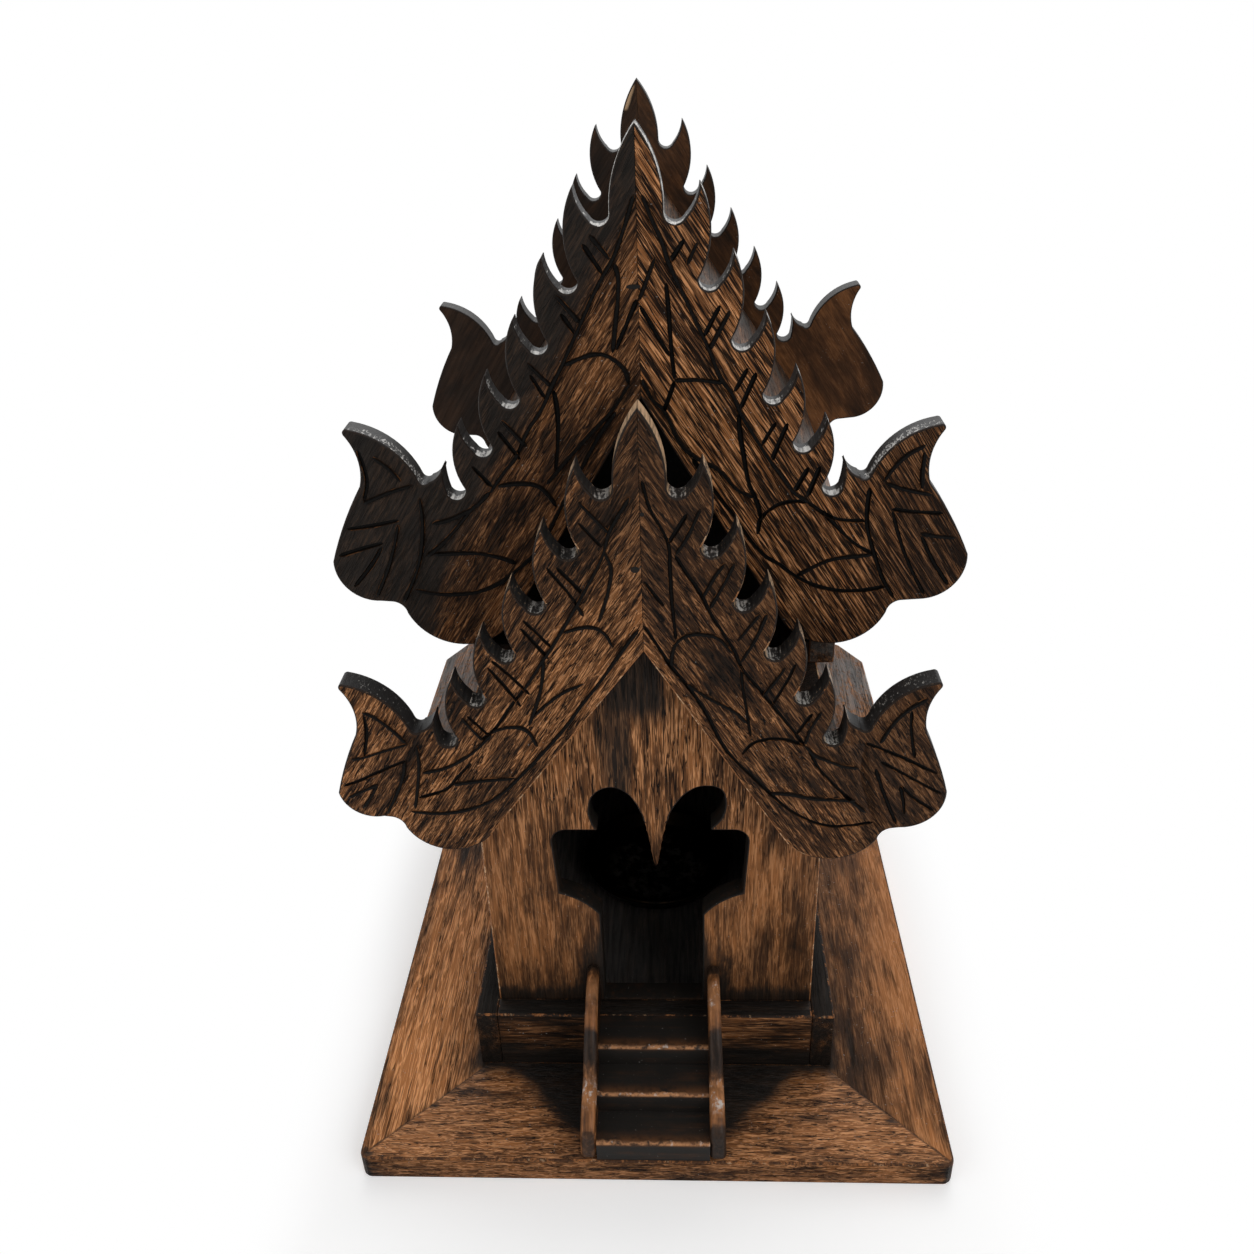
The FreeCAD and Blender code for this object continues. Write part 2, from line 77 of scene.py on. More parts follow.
# Incised lines on each gable half, in millimetres across and up
CARVED_LINES = {
    "lower_gable_right": (
        ((0.5, 179), (2, 173), (4.5, 168), (5.7, 164.7), (5.9, 160), (6.2, 152), (6.7, 146), (7, 142.5)),
        ((7, 162.5), (9.2, 158.5), (12.5, 153), (14.2, 149), (17, 144), (19.7, 139), (21, 135.5),
         (26, 128.5), (29.5, 123.5), (33, 118.5), (35.5, 114.7)),
        ((5.9, 135.5), (6.2, 139), (7.2, 141.7), (9.5, 143.5), (13, 143.7), (16, 142.7), (19, 139)),
        ((0.3, 145.8), (3, 141), (6, 135.5), (8.5, 132), (13, 124.5), (18, 113.5), (21, 109.5), (24.5, 105.5),
         (28, 101.5), (32.5, 96.7), (37.5, 93.2), (42, 91.5), (47, 91.5), (52.5, 92.5)),
        ((21, 135.5), (21.5, 130), (22, 127), (23.5, 117)),
        ((9, 131.5), (14, 127.5), (20, 123.7), (22.7, 120.7)),
        ((21.7, 112.2), (23.5, 114.7), (26, 116), (29.5, 116.4), (33, 115.7), (35.7, 114.5)),
        ((35.7, 114.5), (38, 112), (41.5, 110.2), (44.5, 108.9), (48.2, 108.2)),
        ((36.7, 113.5), (39, 108.5), (42.5, 104), (46, 100), (50.7, 95.5)),
        ((28.2, 101.2), (32.5, 101), (38, 99.7), (44, 99.2), (48, 99)),
        ((49.2, 115.2), (48.5, 111), (49, 104), (50.5, 98), (53, 91)),
        ((49.2, 115.2), (52.5, 113.7), (58, 111), (63, 108.2), (66, 106.6)),
        ((53, 110), (57, 107.5), (62, 104.2), (67.6, 100.8)),
        ((52, 108), (54, 102), (58, 92)),
        ((58, 103.2), (61, 100), (64.5, 97.2), (66.2, 95.9)),
        ((52.5, 115.2), (55, 120.5), (58, 124.2), (61.9, 127.1)),
        ((9.5, 171.7), (5.7, 165.2)), ((12.2, 172.7), (9.5, 166.5), (7.2, 162.7)),
        ((17.2, 160.5), (15.5, 158), (12.7, 152.7)), ((19.2, 160.5), (17, 155.5), (14.2, 150)),
        ((24.7, 148.5), (23, 146), (20.2, 142)), ((26.2, 148.5), (24, 142.5), (21, 136.7)),
        ((30.5, 135.2), (28.7, 132), (26, 128)), ((32.7, 136), (31.2, 132), (28, 125.5)),
        ((37, 123.2), (33.7, 117.7)), ((39, 123.7), (36.7, 119), (35.7, 115)),
        ((58.7, 123.7), (59, 119), (60.5, 111)), ((0.5, 156.5), (3.5, 152), (4.5, 150.7)),
        ((58, 103.2), (59, 99), (59.6, 95)),
    ),
    "lower_gable_left": (
        ((-2, 175.5), (-6.5, 167.5), (-7.5, 163.7), (-12.5, 153.5), (-15, 149), (-20, 140.5), (-22, 137.5),
         (-26, 131), (-30, 125.5), (-33.5, 120.3), (-35.5, 117.8)),
        ((-7.5, 163.7), (-6.3, 160), (-6.9, 155), (-9.3, 147)),
        ((-17, 144.5), (-15, 145.2), (-10.5, 145.6), (-8.2, 144), (-6.5, 140.7)),
        ((-1, 145), (-4.5, 140), (-10, 131.5), (-14, 126), (-18, 120), (-24, 112.5), (-30, 105.5), (-35, 100.5),
         (-40, 97.5), (-45, 96), (-50, 95.5), (-56, 96)),
        ((-21.7, 137.5), (-22.7, 131), (-24, 126.5), (-26.2, 120.5)),
        ((-13.5, 131.5), (-18, 129.2), (-22, 126), (-24.7, 123.2)),
        ((-37.5, 116.5), (-35, 118.5), (-32.5, 119.6), (-29.5, 120.1), (-26.7, 119), (-24.7, 114.7)),
        ((-35, 118), (-39, 113.7), (-42.5, 111), (-47, 108.5), (-52, 107.4)),
        ((-40.5, 110), (-44, 106), (-47, 102.5), (-50, 101.2), (-53.7, 100)),
        ((-45.2, 104), (-39, 105), (-30.7, 105.7)),
        ((-52.5, 115), (-52.5, 110.5), (-53.5, 104), (-55, 97)),
        ((-54.5, 115.5), (-60.5, 113.5), (-65.5, 111.7), (-68, 111.2)),
        ((-55.7, 110.7), (-62, 107.7), (-68, 104.7), (-70.9, 103.6)),
        ((-55.7, 110.7), (-56.5, 107), (-59, 101), (-61.8, 95.6)),
        ((-63, 104), (-67, 102), (-70.5, 100.2)),
        ((-63, 104), (-65, 100.5), (-67.5, 97)),
        ((-63.7, 124.2), (-62, 123.5), (-58.5, 120.5), (-54.7, 115.7)),
        ((-12.3, 174.6), (-6.4, 167.6)), ((-12.5, 170), (-8, 164.5)),
        ((-17.7, 160), (-12.2, 153.5)), ((-19.7, 160), (-13.7, 151), (-12.6, 148.5)),
        ((-25.5, 147.5), (-19.7, 140.5)), ((-26.2, 145.5), (-20.7, 138)),
        ((-33.2, 137.5), (-29, 133), (-25.5, 128.7)), ((-34.2, 135.7), (-31, 131), (-27.7, 125.5)),
        ((-40, 123), (-35.5, 117.5)), ((-41.3, 122.5), (-37.2, 116.5)),
        ((-63.5, 123.5), (-63.5, 119), (-65, 112)),
    ),
    "upper_front_gable_right": (
        ((1.2, 228.5), (3, 224), (5, 219.5), (6.2, 215.7), (9.5, 208.5), (12, 203), (14.5, 197.7), (17, 191.5),
         (19.5, 188), (21.2, 184), (24.7, 178), (28.2, 172.5), (31, 168.7), (33.5, 165.2), (36.7, 162.8)),
        ((3.5, 216.5), (1.7, 212), (0.2, 208.3)),
        ((0.3, 207), (3, 202), (6.2, 196.5)),
        ((5.7, 211.5), (6.2, 205), (6.5, 199), (7.2, 191.5)),
        ((7.2, 191.2), (12, 191.2), (17.7, 190.5)),
        ((7.2, 191), (6, 187.5), (4.7, 184)),
        ((0.3, 191.5), (2.5, 187), (4.6, 185), (9, 176.2), (13, 173), (16.9, 170.7), (21, 166), (24.7, 164)),
        ((11, 173.5), (14, 168.5), (20, 160), (27, 150), (31, 147.2), (35, 144), (40, 141.5), (46, 140.2),
         (52, 140.5), (55.5, 141.2)),
        ((21, 183.5), (21.2, 180), (22.2, 174), (23.5, 167.5), (25.5, 162.5), (26.5, 158.5)),
        ((25.7, 155), (26.2, 158.5), (28, 160.7), (31, 162.5), (34, 163), (36.7, 162.7)),
        ((36.7, 162.7), (40, 160.2), (43.5, 158.5), (49.7, 157.9)),
        ((40.5, 160), (45, 155), (48, 152.2), (52, 149.7)),
        ((35.2, 144.5), (39, 146.7), (43, 148.5), (48, 149.2), (52, 149.5)),
        ((50.2, 166), (50.2, 157.5), (52, 151), (55, 143), (57.7, 138.3)),
        ((55.5, 160.7), (60.5, 160), (67, 159.5)),
        ((55.7, 160.2), (57.5, 154.5), (60.5, 147), (64.7, 139.1)),
        ((62.5, 154.7), (66, 154), (70.3, 153.5)),
        ((62.7, 154), (66, 147.5), (70, 141.5)),
        ((53.2, 167.5), (55, 170.5), (58, 173.7), (61.5, 175.7)),
        ((53.7, 167), (58, 165.5), (64, 164.1)),
        ((9.5, 220), (6.5, 215.5)), ((12, 219.2), (10, 215)), ((16.7, 206.7), (13.5, 200.5)),
        ((18.7, 205.5), (14.5, 197.5)), ((22.7, 193.5), (20, 188.5)), ((24.5, 192.5), (21.2, 184.5)),
        ((29, 181.5), (26, 176.2)), ((31.5, 181.2), (28.2, 172.5)), ((36.5, 171), (33.5, 165.2)),
        ((39, 171.2), (36.5, 164)), ((61.5, 174), (61.4, 170), (61.7, 165.7)),
    ),
    "upper_front_gable_left": (
        ((-0.4, 228.5), (-2.5, 222.5), (-5, 216.5), (-7.2, 213), (-10, 208), (-12.2, 203.5), (-14.5, 199),
         (-16.5, 195), (-19, 190.5), (-21.5, 185.5), (-25, 180.5), (-28, 174.5), (-31, 171), (-34.5, 166.2)),
        ((-4.7, 215.5), (-4.1, 213.5), (-4.2, 209), (-4.7, 205), (-5.7, 197.5)),
        ((-0.3, 208.3), (-2.5, 203.5), (-5, 198)),
        ((-16, 195), (-13, 196.2), (-10, 197.1), (-7.7, 197), (-5, 195.5), (-3, 193), (-2.5, 190.5)),
        ((-2.5, 190.5), (-6, 185.3), (-11.2, 179.7), (-16.3, 174.2), (-21.6, 168.1)),
        ((-5.5, 184.5), (-8.5, 180.5), (-14, 171), (-19, 162), (-25, 151.5), (-30, 146.7), (-35.5, 142.7),
         (-40, 141), (-45, 140.5), (-50, 140.7), (-54.5, 141.7)),
        ((-18.7, 189.5), (-18.2, 185), (-18.5, 178), (-19.4, 171)),
        ((-32.5, 167.7), (-30, 168.1), (-26.5, 168.2), (-23.5, 167.5), (-21.5, 165.5), (-19.7, 162.5)),
        ((-34.5, 166.4), (-38, 163), (-41.5, 161), (-45, 159.5), (-48.5, 158.7)),
        ((-38, 163.5), (-41, 160), (-44, 156.5), (-47, 153.5), (-50.7, 150.5)),
        ((-49, 151), (-43, 151.2), (-38, 151), (-33, 149.7), (-30, 148.4)),
        ((-50.7, 165), (-50.7, 160), (-51.5, 154), (-53.5, 147), (-57.7, 138.6)),
        ((-52, 168.2), (-57, 166.7), (-63.7, 164)),
        ((-56.2, 159.7), (-62, 158.5), (-68.4, 157.6)),
        ((-56.5, 158.5), (-58, 153.5), (-60.5, 147), (-64, 140)),
        ((-60.7, 154), (-65.5, 152.7), (-71.4, 150.8)),
        ((-61, 153), (-64, 148.5), (-69, 142.7)),
        ((-63.2, 176.6), (-62.5, 173.5), (-62.2, 169), (-63.5, 164.5)),
        ((-9.5, 221.2), (-5.7, 216.5)), ((-11, 219.5), (-7.2, 213.5)), ((-17, 209.5), (-12.2, 203.7)),
        ((-16.2, 205.7), (-13.2, 201.2)), ((-24, 195.5), (-19, 190.2)), ((-23.5, 193), (-20.5, 187.5)),
        ((-30.5, 183), (-25.5, 177)), ((-31.5, 180.5), (-27.2, 174)), ((-38, 172.5), (-34, 167.5)),
        ((-60, 175), (-57, 172.5), (-54.5, 169.2)),
    ),
}

# Nail heads near the seams: gable, place across and up, half width and half height
NAILS = {
    "lower_gable_upper": ("lower_gable_right", 0.45, 171.7, 0.5, 0.5),
    "lower_gable_middle": ("lower_gable_left", -1.3, 159.3, 0.95, 0.75),
    "upper_gable": ("upper_front_gable_left", -1.0, 210.9, 1.5, 0.55),
}

# Hand-cut head of the doorway, in millimetres. Each lobe has its middle across, the side to which
# it is measured, and its outline as turns in degrees with distances from the middle.
DOOR_HEAD = {
    "left": (-7.5, 1, (
        (191.0, 5.28), (181.6, 5.64), (160.1, 7.01), (139.6, 9.03), (125.2, 10.89), (115.3, 11.71),
        (105.1, 12.13), (97.8, 12.16), (90.8, 11.82), (83.2, 11.03), (74.0, 10.02), (63.2, 8.67),
        (45.1, 7.14), (18.1, 6.34), (-9.7, 6.81), (-30.6, 8.43), (-45.3, 11.09), (-52.0, 13.3))),
    "right": (9.9, -1, (
        (191.0, 5.28), (183.5, 4.95), (172.6, 6.1), (162.1, 7.61), (150.3, 9.36), (137.7, 11.42),
        (129.3, 12.84), (122.9, 13.6), (114.8, 13.51), (106.1, 12.93), (98.5, 12.2), (93.2, 11.4),
        (83.3, 10.04), (71.3, 8.34), (56.1, 7.0), (24.6, 5.66), (-10.6, 6.21), (-32.4, 8.02),
        (-44.3, 10.15), (-52.9, 12.66))),
}
LOBE_HEIGHT = 86
TOOTH_TIP = (1.47, 71.4)
TOOTH_ROUNDING = 3.9

# The head as it is in the frame, in millimetres: its half width, its lowest and highest place, the
# shoulders below which only the tooth belongs to it, and the middle, half width and tip of the tooth
HEAD_HALF, HEAD_LOW, HEAD_HIGH, SHOULDERS = 19, 74, 99, 85.2
TOOTH_MIDDLE, TOOTH_HALF, TIP_BELOW = 1.2, 3, 75.01


def number_property(name, description, default, unit="LENGTH"):
    """A length, or a number with another unit, that the user can change."""
    return bpy.props.FloatProperty(name=name, description=description, default=default, min=0, unit=unit)


def colour_property(name, description, default):
    """A colour that the user can change."""
    return bpy.props.FloatVectorProperty(
        name=name, description=description, default=default, size=3, min=0, max=1, subtype="COLOR")


class BurnerSizes(bpy.types.PropertyGroup):
    """Small sizes that the boards get by hand."""

    edge: number_property("Worn edge", "Width of the eased edge on plain boards", 0.0006)
    gable_edge: number_property("Gable edge", "Width of the eased edge round the sawn gables", 0.00038)
    base_corner: number_property("Base corner", "Radius of the base's outer corners", 0.0026)
    line_width: number_property("Line width", "Width of the carved lines on the lower gable", 0.00092)
    upper_line_width: number_property(
        "Upper line width", "Width of the carved lines on the upper gables", 0.00108)
    line_depth: bpy.props.FloatProperty(
        name="Line steepness", description="Depth of a carved line as a share of half its width",
        default=1.4, min=0.2, subtype="FACTOR")
    rail_edge: number_property("Rail edge", "Radius of the stair rails' rounded edges", 0.0013)
    rail_taper: bpy.props.FloatProperty(
        name="Rail taper", description="Share by which the outer side of a rail comes in at its top",
        default=0.06, min=0, max=0.2, subtype="FACTOR")
    rear_lean: bpy.props.FloatProperty(
        name="Rear lean", description="How far the rear gable leans to the left",
        default=math.radians(2.1), subtype="ANGLE")
    rear_pivot: number_property("Rear pivot", "Height of the point about which the rear gable leans", 0.1547)
    eave_left: number_property("Left eave", "Length by which the left eave runs further back", 0.0075)
    eave_right: number_property("Right eave", "Length by which the right eave runs further back", 0.0045)
    cheek_trim: number_property("Cheek trim", "Width taken off the outer side of the left cheek", 0.0023)


class BurnerColours(bpy.types.PropertyGroup):
    """Stains and metals of the burner."""

    stain: colour_property("Stain", "Darkest wood, where the stain lies thick", (0.0135, 0.0070, 0.0037))
    wood: colour_property("Wood", "Plain stained wood", (0.066, 0.0265, 0.0098))
    worn: colour_property("Worn wood", "Orange wood where the stain has worn off", (0.275, 0.108, 0.036))
    # Amber also carries painted highlights on the rail crests and along the step nosings
    amber: colour_property("Amber", "Lightest fibres of the rubbed wood", (0.58, 0.27, 0.115))
    bare: colour_property("Bare wood", "Pale wood on rubbed edges", (0.55, 0.36, 0.21))
    # Soot is also the colour of painted shade: at the feet of the walls and plinth, beside the plinth and the
    # rails, under the cheeks, and the gable's painted shadow on the front wall
    soot: colour_property("Soot", "Soot in the corners and inside", (0.0105, 0.0088, 0.0074))
    char: colour_property("Sawn edge", "Dark sawn edges of the gables", (0.018, 0.017, 0.0165))
    # Umber also carries painted shade over the left of the upper gables
    umber: colour_property("Umber", "Nearly black stain on the left upper gable", (0.0125, 0.0104, 0.0088))
    pit: colour_property("Pit", "Black bottom of the carved lines", (0.0035, 0.003, 0.0026))
    # Dust also paints glints in the wood, and sheen on the roof boards and in the lower gable's notches
    dust: colour_property("Dust", "Grey dust on sawn edges and eaves", (0.42, 0.40, 0.37))
    # On the eaves this grey is dust with painted sheen
    slate: colour_property("Slate", "Grey film on the eaves", (0.15, 0.145, 0.14))
    # This whitish colour also paints highlights, glints and sheen on the rails, the nosings and the upper
    # gables
    frost_and_highlight: colour_property("Frost", "Whitish bare fibres in the sawn notches", (0.66, 0.64, 0.61))
    # The brass is kept this dark so that the dish shows black inside the doorway: soot and painted shade
    brass: colour_property("Brass", "Blackened brass of the dish", (0.035, 0.022, 0.012))
    iron: colour_property("Iron", "Nail heads", (0.006, 0.0052, 0.0046))


class StudioSettings(bpy.types.PropertyGroup):
    """Camera and light."""

    place: bpy.props.FloatVectorProperty(
        name="Camera place", description="Where the camera stands",
        default=(0.00782, -0.28320, 0.26321), size=3, subtype="TRANSLATION", unit="LENGTH")
    turn: bpy.props.FloatVectorProperty(
        name="Camera turn", description="How the camera is turned",
        default=tuple(math.radians(angle) for angle in (60.412, 1.792, 2.082)), size=3, subtype="EULER")
    lens: bpy.props.FloatProperty(
        name="Lens", description="Focal length for a 36 mm sensor", default=32.107, min=1, unit="CAMERA")
    key: number_property("Key", "Power of the soft lamp at the front right", 4.0, "POWER")
    fill: number_property("Fill", "Power of the soft lamp at the front left", 2.0, "POWER")
    top: number_property("Top", "Power of the soft lamp above and behind", 4.6, "POWER")
    room: bpy.props.FloatProperty(
        name="Room", description="Strength of the light from the room itself",
        default=0.4, min=0, max=1, subtype="FACTOR")
    floor: colour_property("Floor", "Pale floor", (0.86, 0.86, 0.86))


def sizes():
    """The small sizes set in the panel."""
    return bpy.context.scene.burner_sizes


def colour(name):
    """One of the panel's colours, with full cover."""
    return (*getattr(bpy.context.scene.burner_colours, name), 1.0)


# ---------------------------------------------------------------- shader maths


class Shade:
    """A shader socket on which sums and products can be written."""

    def __init__(self, tree, socket=None):
        self.tree = tree
        self.socket = socket

    def node(self, kind, settings=(), sockets=(), out=0):
        """Add any node: its settings first, then the values or links of its sockets."""
        made = self.tree.nodes.new(kind)
        for name, setting in dict(settings).items():
            setattr(made, name, setting)
        for name, value in dict(sockets).items():
            if isinstance(value, Shade):
                self.tree.links.new(value.socket, made.inputs[name])
            else:
                made.inputs[name].default_value = value
        return Shade(self.tree, made.outputs[out] if made.outputs else None)

    def math(self, operation, *values):
        """One sum on numbers or other shades."""
        return self.node("ShaderNodeMath", {"operation": operation}, dict(enumerate(values)))

    def __add__(self, other):
        return self.math("ADD", self, other)

    __radd__ = __add__

    def __mul__(self, other):
        return self.math("MULTIPLY", self, other)

    __rmul__ = __mul__

    def __sub__(self, other):
        return self.math("SUBTRACT", self, other)

    def __rsub__(self, other):
        return self.math("SUBTRACT", other, self)

    def __abs__(self):
        return self.math("ABSOLUTE", self)

    def larger(self, *others):
        """The largest of this and the others."""
        most = self
        for other in others:
            most = self.math("MAXIMUM", most, other)
        return most

    def smaller(self, other):
        """The smaller of the two."""
        return self.math("MINIMUM", self, other)

    def sway(self, amount):
        """This noise as a wander to both sides of nothing."""
        return (self - 0.5) * amount

    def ramp(self, low, high):
        """0 at low and 1 at high, easing in and out; low may be the larger."""
        return self.node(
            "ShaderNodeMapRange", {"interpolation_type": "SMOOTHSTEP"},
            {"Value": self, "From Min": low, "From Max": high})

    def mix(self, first, second):
        """Colour between two colours, with this as the share of the second."""
        return self.node("ShaderNodeMix", {"data_type": "RGBA"}, {0: self, 6: first, 7: second}, 2)

    def tint(self, by):
        """This colour times another colour or a grey."""
        return self.node(
            "ShaderNodeMix", {"data_type": "RGBA", "blend_type": "MULTIPLY"}, {0: 1.0, 6: self, 7: by}, 2)

    def stretch(self, *factors):
        """This place with its axes multiplied."""
        return self.node("ShaderNodeVectorMath", {"operation": "MULTIPLY"}, {0: self, 1: factors})

    def along(self, grain, shift=0.0):
        """This place with its X axis on the grain, and moved so that boards differ."""
        return self.node(
            "ShaderNodeMapping", {"vector_type": "TEXTURE"},
            {"Vector": self, "Rotation": grain, "Location": (shift, 1.7 * shift, 0.6 * shift)})

    def parts(self):
        """The three numbers of this place."""
        split = self.node("ShaderNodeSeparateXYZ", (), {0: self}).socket.node
        return [Shade(self.tree, socket) for socket in split.outputs]

    def noise(self, scale, detail=2.0, rough=0.5, warp=0.0):
        """Cloudy noise at this place."""
        return self.node(
            "ShaderNodeTexNoise", (),
            {"Vector": self, "Scale": scale, "Detail": detail, "Roughness": rough, "Distortion": warp})


# ---------------------------------------------------------------- materials


def start_material(name):
    """An empty material and the place on the piece that it reads."""
    made = bpy.data.materials.new(name)
    made.use_nodes = True
    made.node_tree.nodes.clear()
    return made, Shade(made.node_tree).node("ShaderNodeTexCoord", (), (), "Object")


def end_material(place, tone, rough, shine, height, reach, strength, **more):
    """Put the finished surface on the output, with its fine relief."""
    relief = place.node("ShaderNodeBump", (), {"Height": height, "Distance": reach, "Strength": strength})
    surface = place.node("ShaderNodeBsdfPrincipled", (), {
        "Base Color": tone, "Roughness": rough, "Specular IOR Level": shine, "Normal": relief, **more})
    place.node("ShaderNodeOutputMaterial", (), {"Surface": surface})


def surface_normal(place):
    """The three numbers of the direction that the surface faces."""
    return place.node("ShaderNodeNewGeometry", (), (), "Normal").parts()


def stained_wood(
        name, grain, tone=1.0, worn=0.5, comb=0.3, dirt_and_painted_light=None, dirt_and_painted_light_colour="soot", shift=0.0, fine=1.0,
        lively=1.0, wavy=1.0, mottle=1.0, shine=0.1, rubbed=None):
    """Open-pored wood under a dark stain: broad streaks, bright rubbed hairlines, black gaps and pale specks
    that paint glints.

    grain turns the X axis onto the grain and shift moves the pattern. tone lightens the stain, worn is
    the share that is rubbed and comb the share of open gaps between the fibres. fine makes the lines
    narrower, wavy makes them shorter and more twisted, and lively, a number or a function of the place,
    is how strongly they show. mottle strengthens the broad patches and shine is the polish. The cover
    function and rubbed take the place and its patches: the cover, in its own colour, is soot, stain and
    dust, and on some boards painted shade and sheen; rubbed gives the cover of bare wood."""
    made, place = start_material(name)
    lively = lively(place) if callable(lively) else lively
    along = place.along(grain, shift)

    def fibres(length, scale, detail, rough, warp):
        """Noise drawn out along the grain."""
        return along.stretch(length * wavy, 1, 1).noise(scale * fine, detail, rough, warp * wavy)

    broad = along.stretch(0.28, 1, 1).noise(58, 3, 0.55, 0.4)
    patch = along.stretch(0.32, 1, 1).noise(190, 5, 0.65, 0.5)
    streak = fibres(0.07, 850, 4, 0.65, 0.5)
    ridge = abs(fibres(0.06, 1500, 2, 0.55, 0.4) - 0.5).ramp(0.065, 0.02)
    furrow = abs(fibres(0.05, 1250, 2, 0.55, 0.4) - 0.5).ramp(0.028 + comb * 0.055, 0.012)
    gap = furrow * (streak.ramp(0.6, 0.42) + comb).smaller(1.0)
    light = broad.sway(0.6) * mottle + patch.sway(0.6) + streak.sway(0.2 + 0.45 * lively) + worn - 0.5
    wood = light.ramp(-0.25, 0.0).mix(colour("stain"), colour("wood"))
    wood = light.ramp(-0.06, 0.24).mix(wood, colour("worn"))
    hair = ridge * light.ramp(-0.2, 0.2)
    wood = (hair * 0.8 * lively).mix(wood, colour("amber"))
    # Painted glints: tiny pale specks in the colour of dust
    speck = place.noise(2000, 0.0).ramp(0.78, 0.84) * patch.ramp(0.4, 0.6)
    cut = (gap * (0.75 + comb * 0.2) * lively).smaller(0.95)
    wood = (speck * 0.4).mix(wood.tint((1 - cut) * tone), colour("dust"))
    # The cover gives soot, stain and dust, and on some boards painted shade and sheen
    if dirt_and_painted_light:
        wood = dirt_and_painted_light(place, patch).mix(wood, (streak.ramp(0.3, 0.7) * 0.7 + 0.65).tint(colour(dirt_and_painted_light_colour)))
    if rubbed:
        wood = rubbed(place, patch).mix(wood, colour("bare"))
    rough = 0.5 - shine * 0.45 + gap * 0.2 - hair * 0.1
    height = ridge * 0.4 + streak * 0.4 - gap * 0.9
    end_material(place, wood, rough, shine, height, 0.26 * MM, 0.6 * lively)
    return made


def worn_edge(name, first, second, share=0.5, fleck=0.0):
    """A rubbed edge: irregular patches of two tones, with a few pale flecks."""
    made, place = start_material(name)
    patch = place.noise(230, 4, 0.65)
    grit = place.noise(1500, 3, 0.65)
    mask = (patch * 0.7 + grit * 0.3).ramp(0.66 - share * 0.28, 0.78 - share * 0.28)
    tone = mask.mix(colour(first), colour(second)).tint(grit.ramp(0.25, 0.75) * 0.8 + 0.5)
    tone = (place.noise(640, 3, 0.7).ramp(0.6, 0.7) * fleck).mix(tone, colour("bare"))
    end_material(place, tone, 0.48 + grit * 0.2, 0.2, grit, 0.15 * MM, 0.5)
    return made


def sawn_edge(name, face, light, outer, notch, notch_light, reach, ear_sheen=(0.1, 0.1), bare_from=9.0):
    """Sawn edge with saw marks across the board: charcoal inside the teeth, lighter where it is rubbed.

    outer and notch are the shares of light fibres on the outer sides and in the notches, with their
    colours light and notch_light; these fibres are bare wood and painted sheen. They fade out at reach
    behind the face. The pair of ear shares, for the left and the right ear, is painted sheen, and above
    bare_from the sides of the top flame are bare wood."""
    made, place = start_material(name)
    x, y, z = place.parts()
    nx, _, nz = surface_normal(place)
    away = nx * x.math("SIGN", x)
    crest = abs(x).ramp(0.047, 0.044)
    marks = place.stretch(1, 0.09, 1).noise(1500, 2, 0.6).sway(crest * 0.85 + 0.15) + 0.5
    speck = place.stretch(1, 0.5, 1).noise(1900, 2, 0.65)
    patch = place.noise(260, 3, 0.6)
    # Light fibres on up-facing notch floors and outer sides: bare wood and painted sheen
    hollow = nz.ramp(0.5, 0.85) * crest
    rim = away.ramp(0.1, 0.4) * nz.ramp(-0.1, 0.1) * crest
    inner = away.ramp(-0.1, -0.4) * nz.ramp(0.05, 0.3) * 0.4
    top = z.ramp(bare_from - 0.003, bare_from) * abs(x).ramp(0.0085, 0.008)
    near = (y + patch.sway(0.005)).ramp(face + reach, face + reach * 0.55)
    share = (hollow * notch).larger(rim * outer, inner * notch) * near
    # Painted sheen on the ears, brighter on the right ear
    share = share + (1 - crest) * (x.ramp(-0.001, 0.001) * (ear_sheen[1] - ear_sheen[0]) + ear_sheen[0])
    grain = marks * 0.38 + speck * 0.62 + patch * 0.15
    cut = 0.78 - share.larger(top) * 0.36
    mask = (grain - cut).ramp(-0.04, 0.06)
    tint = hollow.larger(1 - crest).mix(colour(light), colour(notch_light))
    tone = (mask * 0.92).mix(colour("char"), top.mix(tint, colour("bare")))
    tone = tone.tint(marks.ramp(0.32, 0.6) * 0.8 + 0.35)
    end_material(place, tone, 0.42 + speck * 0.2, 0.35, marks * 0.8 + speck * 0.5, 0.3 * MM, 0.7)
    return made


def carved_line(name, face):
    """Sides and bottom of the carved lines in a face: a rubbed rim, partly a painted highlight, above pooled
    stain.
    """
    made, place = start_material(name)
    depth = abs(place.parts()[1] - face)
    grit = place.noise(1700, 2, 0.6)
    rubbed = place.noise(420, 3, 0.6).ramp(0.48, 0.62)
    tone = depth.ramp(0.0, 0.5 * MM).mix(colour("stain"), colour("pit")).tint(grit.ramp(0.3, 0.7) + 0.5)
    # Rubbed rim near the face: wear with a painted highlight
    tone = (depth.ramp(0.3 * MM, 0.05 * MM) * rubbed * 0.5).mix(tone, colour("worn"))
    end_material(place, tone, 0.5, 0.07, grit, 0.2 * MM, 0.6)
    return made


